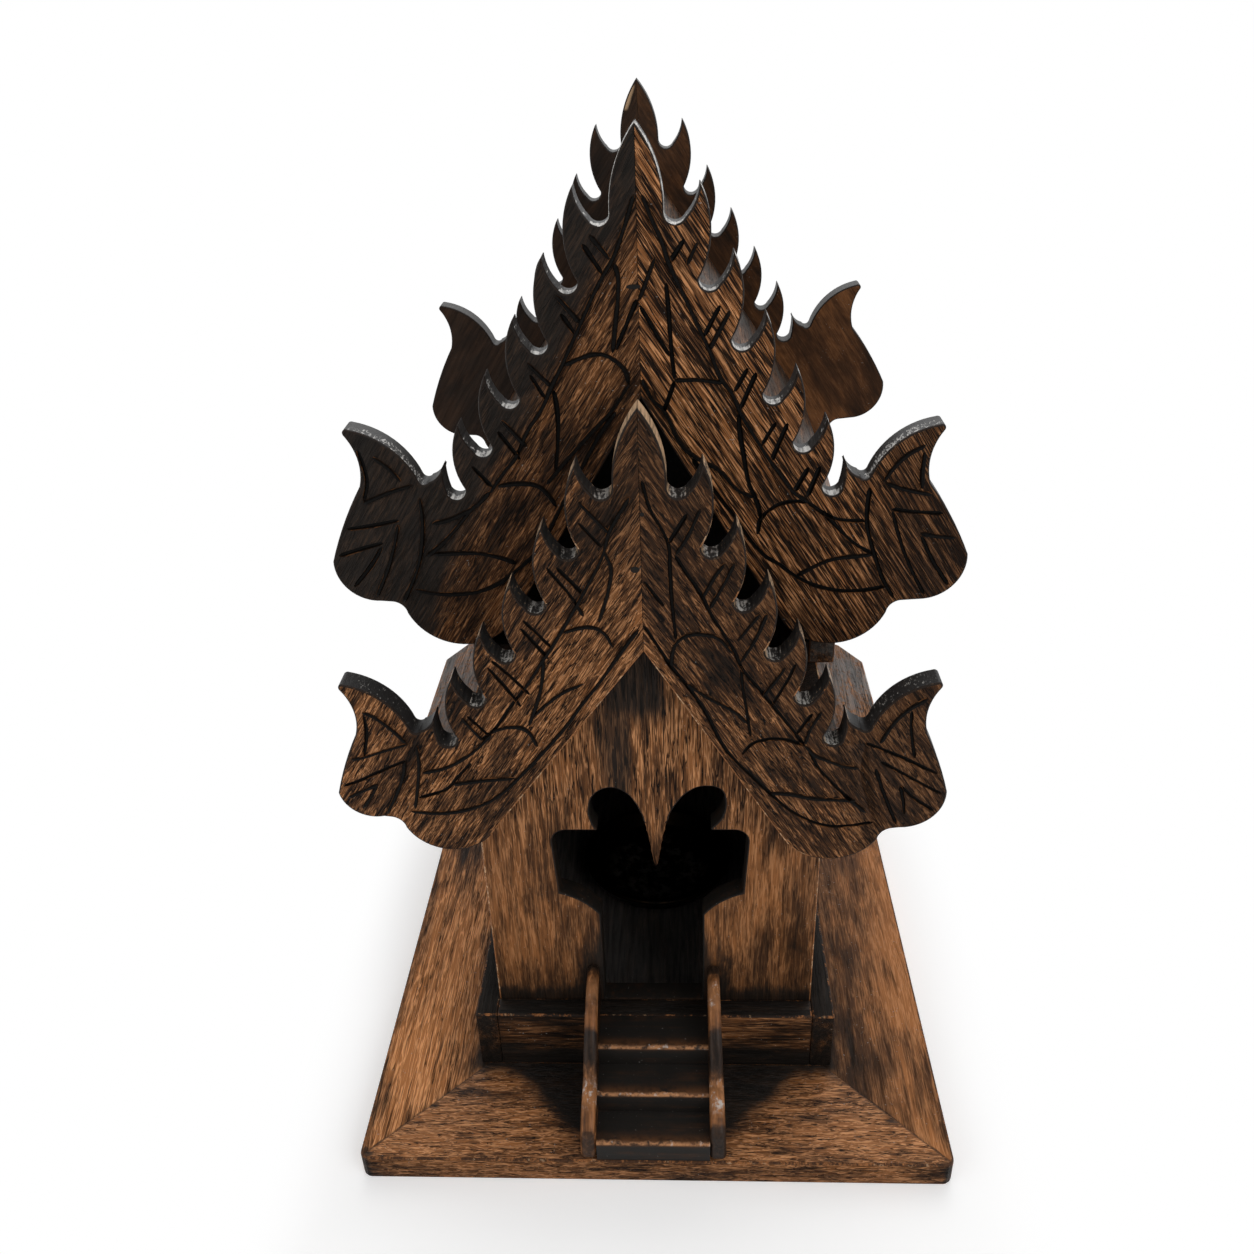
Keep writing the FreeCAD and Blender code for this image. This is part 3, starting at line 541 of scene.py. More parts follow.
def sooty_wood(name, grain, lip=None):
    """Blackened wood inside the burner and on the treads; lip is the front and top of a rubbed nosing, which
    gets a painted highlight along its edge.
    """
    made, place = start_material(name)
    streak = place.along(grain).stretch(0.07, 1, 1).noise(620, 4, 0.6)
    patch = place.noise(160, 4, 0.6)
    speck = place.noise(1500, 1, 0.5).ramp(0.74, 0.8)
    brown = streak.ramp(0.4, 0.75) * patch.ramp(0.35, 0.75) * 0.55
    tone = (speck * 0.25).mix(brown.mix(colour("soot"), colour("wood")), colour("dust"))
    shine = 0.12
    if lip:
        _, y, z = place.parts()
        front, top = lip
        rag = place.noise(420, 4, 0.65)
        wander = rag.sway(0.004) + patch.sway(0.003)
        behind, below = y - front + wander, top - z
        soft = behind.ramp(0.0042, 0.0004) * (below + wander * 0.3).ramp(0.0014, 0.0006) * patch.ramp(0.3, 0.6)
        # A thin line along the nosing's edge that is wear and painted highlight, and whitish painted glints on
        # it
        crisp_wear_and_highlight = behind.ramp(0.0011, 0.0004) * below.ramp(0.0009, 0.0004)
        tone = (soft * 0.6).mix(tone, (rag.ramp(0.35, 0.65) * 0.6 + 0.2).tint(colour("worn")))
        tone = (crisp_wear_and_highlight * rag.ramp(0.36, 0.6) * 0.8).mix(tone, colour("amber"))
        tone = (crisp_wear_and_highlight * place.noise(700, 2, 0.6).ramp(0.56, 0.7) * 0.45).mix(tone, colour("frost_and_highlight"))
        shine = 0.25
    end_material(place, tone, 0.42 + patch * 0.2, shine, streak * 0.5 + patch * 0.3, 0.25 * MM, 0.55)
    return made


# ---------------------------------------------------------------- modelling helpers


def pick(piece):
    """Select one object and nothing else."""
    bpy.ops.object.select_all(action="DESELECT")
    piece.select_set(True)
    bpy.context.view_layer.objects.active = piece


def apply_modifier(piece, kind, **settings):
    """Add a modifier, set it and apply it."""
    pick(piece)
    made = piece.modifiers.new(kind.lower(), kind)
    for name, setting in settings.items():
        setattr(made, name, setting)
    bpy.ops.object.modifier_apply(modifier=made.name)


def edit_all(piece):
    """Go into edit mode with the whole of one object selected."""
    pick(piece)
    bpy.ops.object.mode_set(mode="EDIT")
    bpy.ops.mesh.select_all(action="SELECT")


def board_copy(node, materials):
    """Copy a board from the frame as one closed mesh with whole flat faces."""
    pick(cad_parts[node])
    bpy.ops.object.duplicate()
    piece = bpy.context.object
    piece.name = node + "_board"
    piece.data.materials.clear()
    for material in materials:
        piece.data.materials.append(material)
    edit_all(piece)
    bpy.ops.mesh.customdata_custom_splitnormals_clear()
    bpy.ops.mesh.remove_doubles(threshold=2e-6)
    bpy.ops.mesh.dissolve_limited(angle_limit=math.radians(0.6))
    bpy.ops.object.mode_set(mode="OBJECT")
    for face in piece.data.polygons:
        face.material_index = WOOD
    return piece


def paint(piece, slot, test):
    """Give a material slot to every face that passes a test on its middle, its normal and its slot."""
    for face in piece.data.polygons:
        if test(face.center, face.normal, face.material_index):
            face.material_index = slot


def ease(piece, width, slot=EDGE, segments=2, angle=SHARP):
    """Round the sharp edges by hand wear; the rounding shows the slot's material."""
    apply_modifier(
        piece, "BEVEL", width=width, segments=segments, limit_method="ANGLE",
        angle_limit=math.radians(angle), use_clamp_overlap=False, material=slot)


def ease_outline(piece, width, slot, skip):
    """Round the sharp edges, but not round the faces that are skipped because they lie in a joint."""
    mesh = piece.data
    faces = {}
    for face in mesh.polygons:
        for key in face.edge_keys:
            faces.setdefault(key, []).append(face)
    weights = mesh.attributes.new("bevel_weight_edge", "FLOAT", "EDGE")
    for edge, weight in zip(mesh.edges, weights.data):
        first, second = faces[edge.key]
        sharp = first.normal.angle(second.normal) > math.radians(SHARP)
        weight.value = 1.0 if sharp and not (skip(first) or skip(second)) else 0.0
    apply_modifier(
        piece, "BEVEL", width=width, segments=2, limit_method="WEIGHT", use_clamp_overlap=False, material=slot)


def settle(piece, node, body, angle=32):
    """Smooth the rounded edges and hand the piece to the body that carries it."""
    pick(piece)
    bpy.ops.object.shade_smooth_by_angle(angle=math.radians(angle))
    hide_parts(node)
    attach(piece, body)
    bpy.ops.object.select_all(action="DESELECT")


def bisect(piece, point, normal):
    """Cut off what lies beyond a plane and close the cut."""
    edit_all(piece)
    bpy.ops.mesh.bisect(plane_co=point, plane_no=normal, use_fill=True, clear_outer=True)
    bpy.ops.object.mode_set(mode="OBJECT")


def half_size(node):
    """Largest distance of a node from the middle, across and along."""
    low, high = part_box(node)
    return max(-low[0], high[0]), max(-low[1], high[1])


def base_half():
    """Half the width and half the length of the base."""
    return half_size("base_front")[0], half_size("base_right")[1]


# ---------------------------------------------------------------- base and plinth


def base_soot_and_shade(place, patch):
    """Soot and painted shade beside the plinth and the rails, soot in the mitres, and on the rubbed left edge
    and corners.
    """
    across, along = half_size("plinth_left")
    rail = half_size("stair_rail_left")[0]
    half_x, half_y = base_half()
    x, y, z = place.parts()
    beyond = (abs(x) - across).larger(abs(y) - along)
    # Painted shade, with soot: the rim beside the plinth and the wedge beside the rails
    rim = (beyond + patch.sway(0.008)).ramp(0.0075, 0.0005)
    beside, ahead = (abs(x) - rail).larger(0.0), (-1 * y - along).larger(0.0)
    wedge = (beside + ahead + patch.sway(0.006)).ramp(0.0275, 0.0195) * (-1 * y).ramp(along - 0.002, along)
    from_side, from_end = half_x - abs(x), half_y - abs(y)
    off_mitre, from_corner = from_side - from_end, from_side + from_end
    mitre = abs(off_mitre + patch.sway(0.001)).ramp(0.0007, 0.0002) * patch.ramp(0.35, 0.6) * 0.8
    smudge = abs(off_mitre + patch.sway(0.012)).ramp(0.0028, 0.0006) * patch.ramp(0.5, 0.4) * 0.8
    left_edge = (from_side + patch.sway(0.014)).ramp(0.0045, 0.0) * x.ramp(-0.03, -0.06) * 0.6
    corner = (from_corner + patch.sway(0.002)).ramp(0.0027, 0.0018) * z.ramp(0.0068, 0.0058) * 0.9
    chip = (from_corner + patch.sway(0.012)).ramp(0.0062, 0.0042) * x.ramp(-0.05, -0.06)
    chip = chip * y.ramp(-0.09, -0.095) * abs(off_mitre).ramp(0.0034, 0.0018) * 0.9
    return rim.larger(wedge, mitre, smudge, left_edge, corner, chip) * 0.97


class BaseBoards(bpy.types.Operator):
    """Mitred base boards with rounded corners, and soot with painted shade round the plinth"""

    bl_idname = "burner.base_boards"
    bl_label = "Base boards"

    def execute(self, context):
        edge = worn_edge("base_worn_edge", "wood", "worn", share=0.7, fleck=0.5)
        across, left, right, front = (
            stained_wood("base_wood_" + name, grain, worn=0.57, mottle=2.0, dirt_and_painted_light=base_soot_and_shade, **look)
            for name, grain, look in (
                ("across", X_GRAIN, dict(tone=1.17, comb=0.2, lively=1.15, wavy=2.1, shine=0.18)),
                ("left", Y_GRAIN, dict(tone=1.6, comb=0.15, shift=0.31, fine=0.8, lively=0.9)),
                ("right", Y_GRAIN, dict(tone=1.3, comb=0.1, shift=0.31, fine=0.8, lively=0.45)),
                ("face", X_GRAIN, dict(tone=0.9, comb=0.2, lively=1.15, wavy=2.1, shine=0.08)),
            ))
        half_x, half_y = base_half()
        radius = sizes().base_corner
        for node, wood in (
            ("base_front", across), ("base_back", across), ("base_left", left), ("base_right", right),
        ):
            piece = board_copy(node, (wood, edge, front))
            for side_x, side_y in ((1, 1), (1, -1), (-1, 1), (-1, -1)):
                centre = Vector((side_x * (half_x - radius), side_y * (half_y - radius), 0))
                for angle in (11.25, 33.75, 56.25, 78.75):
                    turn = math.radians(angle)
                    out = Vector((side_x * math.cos(turn), side_y * math.sin(turn), 0))
                    bisect(piece, centre + out * radius, out)
            ease_outline(piece, sizes().edge * 0.9, EDGE, self.in_mitre)
            paint(piece, OTHER, lambda middle, normal, slot: slot == WOOD and abs(normal.y) > 0.9)
            settle(piece, node, "house")
        return {"FINISHED"}

    @staticmethod
    def in_mitre(face):
        """True for an upright face that lies in a mitred corner."""
        return abs(face.normal.z) < 0.5 and abs(abs(face.normal.x) - abs(face.normal.y)) < 0.25


class PlinthBoards(bpy.types.Operator):
    """Low plinth boards, sooty and darkened by painted shade at the foot, and worn along the top edge"""

    bl_idname = "burner.plinth_boards"
    bl_label = "Plinth boards"

    def execute(self, context):
        low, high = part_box("plinth_front")

        def plinth_soot_and_shade(place, patch):
            """Soot and painted shade at the foot and on the top, where the plinth meets the base and the walls,
            and soot on the front ends of the side boards.
            """
            x, y, z = place.parts()
            # Painted shade, with soot, along the foot and the top
            foot = (z + patch.sway(0.016)).ramp(low[2] + 0.011, low[2] + 0.004)
            top = z.ramp(high[2] - 0.0006, high[2] - 0.0002)
            ends = abs(x).ramp(0.0405, 0.043) * y.ramp(-0.074, -0.0755) * patch.ramp(0.75, 0.45) * 0.9
            return foot.larger(top, ends) * 0.95

        edge = worn_edge("plinth_worn_edge", "stain", "worn", share=0.55, fleck=0.35)
        across = stained_wood(
            "plinth_wood_across", X_GRAIN, tone=0.68, worn=0.44, comb=0.3, dirt_and_painted_light=plinth_soot_and_shade, shift=0.13)
        along = stained_wood(
            "plinth_wood_along", Y_GRAIN, tone=0.5, worn=0.4, comb=0.2, dirt_and_painted_light=plinth_soot_and_shade, shift=0.23)
        for node, wood in (
            ("plinth_front", across), ("plinth_back", across), ("plinth_left", along), ("plinth_right", along),
        ):
            piece = board_copy(node, (wood, edge))
            ease(piece, sizes().edge * 0.8)
            paint(piece, WOOD, lambda middle, normal, slot: slot == EDGE and middle.z < high[2] - 0.002)
            settle(piece, node, "house")
        return {"FINISHED"}


# ---------------------------------------------------------------- walls


class WallBoards(bpy.types.Operator):
    """Upright wall boards, brown outside and blackened inside, with the trefoil doorway"""

    bl_idname = "burner.wall_boards"
    bl_label = "Walls"

    def execute(self, context):
        jamb, _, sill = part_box("step_upper")[1]
        door_half, door_top = 27.5 * MM, sill + 72.5 * MM

        def wall_soot_and_shadow(place, patch):
            """Soot and painted shade at the foot and beside the rails, soot and the gable's painted shadow
            above the doorway, and painted shadow at the peak.
            """
            x, _, z = place.parts()
            wander, shade = patch.sway(0.014), patch.sway(0.01)
            # Painted shade: darker at the foot, beside the rails and towards the bottom; band and peak paint
            # the gable's shadow
            foot = (z + wander).ramp(sill + 0.0085, sill + 0.002)
            rail = (abs(x) + (z - sill) * 0.3 + wander).ramp(jamb + 0.012, jamb + 0.005)
            rail = rail * z.ramp(sill + 0.035, sill + 0.018)
            band = (x + shade * 0.4).ramp(-0.0145, -0.0085) * (x + shade * 0.12).ramp(-0.0034, -0.0046)
            band = band * (z + shade * 0.3).ramp(sill + 0.05, sill + 0.08) * 0.86
            peak = (abs(x + 0.003) + shade * 0.5).ramp(0.0095, 0.0055)
            peak = peak * (z + shade * 0.5).ramp(sill + 0.086, sill + 0.095)
            haze = (z + wander * 0.6).ramp(sill + 0.024, sill + 0.004) * 0.4
            return foot.larger(rail, peak, band, haze) * 0.93

        def side_wall_soot_and_shadow(place, patch):
            """Soot and the cheeks' painted shadow on the upper front corners of the side walls."""
            _, y, z = place.parts()
            # Painted shadow under the cheeks, with soot
            return (z + patch.sway(0.004)).ramp(0.104, 0.109) * y.ramp(-0.028, -0.036) * 0.9

        def in_doorway(middle):
            """True for a face beside or above the doorway's opening."""
            return abs(middle.x) < door_half and middle.z < door_top

        edge = worn_edge("wall_worn_edge", "worn", "bare", share=0.6)
        soot = sooty_wood("wall_inner_soot", Z_GRAIN)
        front = stained_wood(
            "front_wall_wood", Z_GRAIN, tone=0.98, worn=0.55, comb=0.2, dirt_and_painted_light=wall_soot_and_shadow, mottle=1.6,
            lively=lambda place: place.parts()[2].ramp(0.07, 0.105) * 0.75 + 0.55)
        side = stained_wood(
            "side_wall_wood", Z_GRAIN, tone=0.8, worn=0.5, comb=0.25, dirt_and_painted_light=side_wall_soot_and_shadow, shift=0.41)
        for node, wood, out in (
            ("front_wall", front, (0, -1, 0)), ("back_wall", side, (0, 1, 0)),
            ("left_wall", side, (-1, 0, 0)), ("right_wall", side, (1, 0, 0)),
        ):
            piece = board_copy(node, (wood, edge, soot))
            outward = Vector(out)
            paint(piece, OTHER, lambda middle, normal, slot: normal.dot(outward) < -0.5)
            if node == "front_wall":
                self.shape_doorway(piece)
                paint(piece, OTHER, lambda middle, normal, slot: abs(normal.y) < 0.5
                      and in_doorway(middle) and middle.z > sill - MM)
            ease(piece, sizes().edge * 0.7)
            if node == "front_wall":
                paint(piece, OTHER, lambda middle, normal, slot: slot == EDGE and in_doorway(middle))
                paint(piece, WOOD, lambda middle, normal, slot: slot == OTHER and normal.y < -0.3
                      and abs(middle.x - 1.5 * MM) < 2.5 * MM)
            settle(piece, node, "house")
        return {"FINISHED"}

    @staticmethod
    def select_edges(piece, test):
        """Go into edit mode with only the edges whose two ends pass a test together."""
        pick(piece)
        bpy.ops.object.mode_set(mode="EDIT")
        bpy.ops.mesh.select_mode(type="EDGE")
        bpy.ops.mesh.select_all(action="DESELECT")
        bpy.ops.object.mode_set(mode="OBJECT")
        points = piece.data.vertices
        for edge in piece.data.edges:
            edge.select = test(*(points[index].co / MM for index in edge.vertices))
        bpy.ops.object.mode_set(mode="EDIT")

    def shape_doorway(self, piece):
        """Follow the hand-cut head of the doorway: uneven lobes and a blunt tooth between them."""
        self.select_edges(piece, lambda first, second: abs(first.y - second.y) < 0.01 and all(
            HEAD_LOW < end.z < 97 and -7 < end.x < 9.5 for end in (first, second)))
        bpy.ops.mesh.subdivide(number_cuts=2)
        bpy.ops.object.mode_set(mode="OBJECT")
        for point in piece.data.vertices:
            x, z = point.co.x / MM, point.co.z / MM
            if abs(x) > HEAD_HALF or not HEAD_LOW < z < HEAD_HIGH:
                continue
            if z < SHOULDERS and abs(x - TOOTH_MIDDLE) > TOOTH_HALF:
                continue
            if z < TIP_BELOW:
                point.co.x, point.co.z = TOOTH_TIP[0] * MM, TOOTH_TIP[1] * MM
                continue
            middle, side, outline = DOOR_HEAD["left" if x < TOOTH_MIDDLE else "right"]
            turn = (math.degrees(math.atan2(z - LOBE_HEIGHT, (x - middle) * side)) + 90) % 360 - 90
            for (turn_1, reach_1), (turn_2, reach_2) in zip(outline, outline[1:]):
                if turn_2 <= turn <= turn_1:
                    reach = reach_1 + (reach_2 - reach_1) * (turn - turn_1) / (turn_2 - turn_1)
                    point.co.x = (middle + side * reach * math.cos(math.radians(turn))) * MM
                    point.co.z = (LOBE_HEIGHT + reach * math.sin(math.radians(turn))) * MM
        self.select_edges(piece, lambda first, second: abs(first.x) < 2 and all(
            abs(end.z - TOOTH_TIP[1]) < 0.1 for end in (first, second)))
        bpy.ops.mesh.bevel(offset=TOOTH_ROUNDING * MM, offset_type="OFFSET", segments=5, affect="EDGES")
        bpy.ops.object.mode_set(mode="OBJECT")


# ---------------------------------------------------------------- stair


class StairBoards(bpy.types.Operator):
    """Dark treads with rubbed nosings between two wavy rails"""

    bl_idname = "burner.stair"
    bl_label = "Stair"

    def execute(self, context):
        for node in ("step_lower", "step_middle", "step_upper"):
            low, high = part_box(node)
            piece = board_copy(node, (sooty_wood(node + "_soot", X_GRAIN, (low[1], high[2])),))
            settle(piece, node, "house", angle=46)
        side = stained_wood("rail_side_wood", RAIL_GRAIN, tone=0.6, worn=0.4, comb=0.2, shift=0.53)
        top = self.rail_wood("rail_top_wood")
        for node in ("stair_rail_left", "stair_rail_right"):
            low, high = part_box(node)
            centre = abs(low[0] + high[0]) / 2
            piece = board_copy(node, (side, top))
            paint(piece, EDGE, lambda middle, normal, slot: abs(normal.x) < 0.5)
            for point in piece.data.vertices:
                rise = (point.co.z - low[2]) / (high[2] - low[2])
                if abs(point.co.x) > centre:
                    point.co.x *= 1 - sizes().rail_taper * rise
            ease(piece, sizes().rail_edge, segments=5)
            settle(piece, node, "house")
        return {"FINISHED"}

    @staticmethod
    def rail_wood(name):
        """Rail tops rubbed bright, with painted highlights and glints, on their crests; black with painted
        shade in the dip, and black at the wall and on the foot.
        """
        made, place = start_material(name)
        streak = place.along(RAIL_GRAIN).stretch(0.1, 1, 1).noise(900, 3, 0.6, 0.4)
        smear = place.stretch(0.5, 1, 0.5).noise(170, 4, 0.6)
        x, y, _ = place.parts()
        forward = -1 * surface_normal(place)[1]
        dip_y, upper_crest_y, lower_crest_y = -0.0893, -0.079, -0.0966
        run = y + smear.sway(0.009)
        # Painted shade: the dip faces away from the light and is made black
        painted_dip_shade = abs(run - dip_y).ramp(0.0056, 0.0026)
        wall_end = run.ramp(-0.0752, -0.0732)
        foot = forward.ramp(0.55, 0.85) * y.ramp(-0.1, -0.103) * 0.8
        right_foot = run.ramp(-0.1005, -0.1025) * x.ramp(0.0, 0.01)
        # Crests rubbed orange with a painted highlight
        crest_wear_and_highlight = abs(run - upper_crest_y).ramp(0.0042, 0.0008)
        crest_wear_and_highlight = crest_wear_and_highlight.larger(abs(run - lower_crest_y).ramp(0.004, 0.0008))
        tone = (smear * 0.5 + streak * 0.8).ramp(0.45, 0.85).mix(colour("wood"), colour("worn"))
        tone = (crest_wear_and_highlight * 0.3 + streak.ramp(0.52, 0.66) * 0.25).mix(tone, colour("amber"))
        # Whitish painted glints on the crests
        glint = place.noise(420, 3, 0.65).ramp(0.52, 0.64) * (streak + smear * 0.4).ramp(0.6, 0.8)
        tone = (crest_wear_and_highlight * glint * 0.75).mix(tone, colour("frost_and_highlight"))
        black = (streak.ramp(0.3, 0.7) * 0.9 + 0.3).tint(colour("soot"))
        tone = (painted_dip_shade.larger(wall_end, foot, right_foot) * 0.92).mix(tone, black)
        end_material(place, tone, 0.32 + streak * 0.2, 0.2, streak * 0.6 + smear, 0.4 * MM, 0.6)
        return made


# ---------------------------------------------------------------- gables


def line_tool(node, strokes, width):
    """A solid as wide as the carved lines of one gable half, lying on the ground."""
    lines = bpy.data.curves.new(node + "_lines", "CURVE")
    lines.dimensions = "3D"
    lines.fill_mode = "FULL"
    lines.resolution_u = 5
    lines.bevel_mode = "ROUND"
    lines.bevel_depth = 1.0
    lines.bevel_resolution = 1
    lines.use_fill_caps = True
    for stroke in strokes:
        points = [Vector((x * MM, z * MM, 0)) for x, z in stroke]
        for place, end, after in ((1, 0, 1), (-1, -1, -2)):
            length = (points[after] - points[end]).length
            points.insert(place, points[end].lerp(points[after], min(0.4, 0.9 * MM / length)))
        spline = lines.splines.new("BEZIER")
        spline.bezier_points.add(len(points) - 1)
        for index, (knot, point) in enumerate(zip(spline.bezier_points, points)):
            end = index in (0, len(points) - 1)
            knot.co = point
            knot.handle_left_type = knot.handle_right_type = "AUTO"
            knot.radius = width / 2 * (0.45 if end else 1.0 + 0.16 * math.sin(7 * point.x / MM + point.y / MM))
    tool = bpy.data.objects.new(node + "_lines", lines)
    bpy.context.collection.objects.link(tool)
    pick(tool)
    bpy.ops.object.convert(target="MESH")
    edit_all(tool)
    bpy.ops.mesh.remove_doubles(threshold=1e-6)
    bpy.ops.mesh.normals_make_consistent(inside=False)
    bpy.ops.object.mode_set(mode="OBJECT")
    return tool


def carve(piece, node, face_y):
    """Cut the carved lines of one gable half into the face at face_y."""
    small = sizes()
    rear = "back" in node
    strokes = CARVED_LINES[node.replace("upper_back", "upper_front")]
    tool = line_tool(node, strokes, small.line_width if "lower" in node else small.upper_line_width)
    tool.rotation_euler = (math.radians(90), -small.rear_lean if rear else 0, 0)
    tool.scale = (1, 1, small.line_depth)
    tool.location = (0, face_y, 0)
    if rear:
        tool.location.x = small.rear_pivot * math.sin(small.rear_lean)
        tool.location.z = small.rear_pivot * (1 - math.cos(small.rear_lean))
    pick(tool)
    bpy.ops.object.transform_apply(location=True, rotation=True, scale=True)
    for material in piece.data.materials:
        tool.data.materials.append(material)
    for face in tool.data.polygons:
        face.material_index = LINE
    apply_modifier(piece, "BOOLEAN", operation="DIFFERENCE", object=tool, solver="EXACT", use_self=True)
    bpy.data.objects.remove(tool)


def dark_outer_stain_and_shade(place, patch):
    """Nearly black stain and painted shade over the crest and the ear of the left upper gable half."""
    x, _, z = place.parts()
    crest = (x + 0.005) * -0.863 + (z - 0.2165) * 0.506
    ear = (x + 0.040) * -0.933 + (z - 0.158) * 0.359
    return (crest.larger(ear) + patch.sway(0.012)).ramp(-0.002, 0.004) * 0.93


def dark_ear(place, patch):
    """Darker stain over the top of the lower gable and over the ear and crest of its right half."""
    x, _, z = place.parts()
    crest = (x - 0.0125) * 0.863 + (z - 0.153) * 0.506
    ear = ((x - 0.048).larger(crest) + patch.sway(0.02)).ramp(-0.002, 0.007) * 0.6
    crown = (abs(x) + patch.sway(0.02)).ramp(0.017, 0.006) * z.ramp(0.145, 0.165) * 0.42
    return ear.larger(crown)


def dark_tip(place, patch):
    """Darker stain over the ear of the right upper gable half."""
    return (place.parts()[0] - 0.051 + patch.sway(0.02)).ramp(-0.004, 0.006) * 0.6


def rear_stain_and_shade(place, patch):
    """The rear gable darkens to the left: stain and painted shade."""
    # Painted shade, with stain, darkening to the left
    return (place.parts()[0] + patch.sway(0.03)).ramp(0.04, -0.025) * 0.85


def rear_rub(place, patch):
    """Bare wood along the left edge of the rear gable's top flame."""
    x, _, z = place.parts()
    inside = (x + 0.0032) * 0.939 - (z - 0.2416) * 0.344 + patch.sway(0.0012)
    return inside.ramp(0.0005, -0.0003) * z.ramp(0.2332, 0.2343) * z.ramp(0.2406, 0.2392) * 0.7


class GableBoards(bpy.types.Operator):
    """Flame-crested gables in two halves, with incised leaves, sawn edges and a rubbed outline"""

    bl_idname = "burner.gables"
    bl_label = "Gables"

    def execute(self, context):
        rub = worn_edge("gable_worn_edge", "stain", "worn", share=0.2, fleck=0.12)
        dull = worn_edge("gable_dull_edge", "stain", "umber", share=0.5)
        # Painted highlight: pale edges round the apex of the upper front gable
        pale = worn_edge("gable_highlight_edge", "dust", "frost_and_highlight", share=0.8)
        rake = worn_edge("gable_rake_edge", "worn", "bare", share=0.6, fleck=0.5)
        low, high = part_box("lower_gable_left")
        lower = sawn_edge(
            "lower_gable_sawn_edge", low[1], light="bare", outer=0.65, notch=0.52, notch_light="dust",
            reach=12 * MM, ear_sheen=(0.06, 0.1), bare_from=high[2] - 12.5 * MM)
        upper = sawn_edge(
            "upper_gable_sawn_edge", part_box("upper_front_gable_left")[0][1], light="frost_and_highlight", outer=0.85,
            notch=0.85, notch_light="frost_and_highlight", reach=4.2 * MM, ear_sheen=(0.12, 0.2))
        rear = sawn_edge(
            "rear_gable_sawn_edge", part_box("upper_back_gable_left")[0][1], light="dust", outer=0.1,
            notch=0.2, notch_light="dust", reach=12 * MM)
        lower_look = dict(tone=0.88, worn=0.48, comb=0.35, dirt_and_painted_light=dark_ear, dirt_and_painted_light_colour="stain", wavy=1.7)
        rear_look = dict(
            tone=0.75, worn=0.52, comb=0.0, dirt_and_painted_light=rear_stain_and_shade, dirt_and_painted_light_colour="umber", shift=0.47, lively=0.15)
        halves = {
            "lower_gable_left": (rub, lower, dict(lower_look, shift=0.07, lively=1.3)),
            "lower_gable_right": (rub, lower, dict(lower_look, shift=0.18, lively=1.25)),
            # The left upper half is a darker copy: stain and painted shade, since the light falls from the
            # right
            "upper_front_gable_left": (dull, upper, dict(
                tone=0.8, worn=0.47, comb=0.5, dirt_and_painted_light=dark_outer_stain_and_shade, dirt_and_painted_light_colour="umber", shift=0.27, wavy=1.5)),
            "upper_front_gable_right": (rub, upper, dict(
                tone=1.05, worn=0.55, comb=1.1, dirt_and_painted_light=dark_tip, dirt_and_painted_light_colour="stain", shift=0.37, fine=1.2,
                lively=1.25, wavy=0.8)),
            "upper_back_gable_left": (dull, rear, dict(rear_look, rubbed=rear_rub)),
            "upper_back_gable_right": (dull, rear, rear_look),
        }
        for node, (edge, sawn, look) in halves.items():
            low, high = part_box(node)
            side = 1 if node.endswith("right") else -1
            front = high[1] if "back" in node else low[1]
            wood = stained_wood(node + "_wood", RIGHT_GRAIN if side == 1 else LEFT_GRAIN, **look)
            line = carved_line(node + "_carved_line", front)
            piece = board_copy(node, (wood, edge, line, sawn, pale, rake))
            paint(piece, SAWN, lambda middle, normal, slot: abs(normal.y) < 0.5)
            walls = [face for face in piece.data.polygons if face.normal.x * side < -0.98]
            seam = max(walls, key=lambda face: face.area).index
            ease_outline(piece, sizes().gable_edge, EDGE, lambda face: face.index == seam)
            if "lower" in node:
                paint(piece, RAKE, lambda middle, normal, slot: slot == EDGE and normal.y < 0
                      and normal.z < -0.15 and abs(middle.x) < 38 * MM)
            if "upper_front" in node:
                # Painted highlight along the apex edges
                paint(piece, PALE_HIGHLIGHT, lambda middle, normal, slot: slot == EDGE and -0.6 < normal.y < 0
                      and middle.z > high[2] - 19 * MM and abs(middle.x) < 8 * MM)
            carve(piece, node, front)
            settle(piece, node, "house" if node.startswith("lower") else "lid", angle=20)
        return {"FINISHED"}


# ---------------------------------------------------------------- roofs


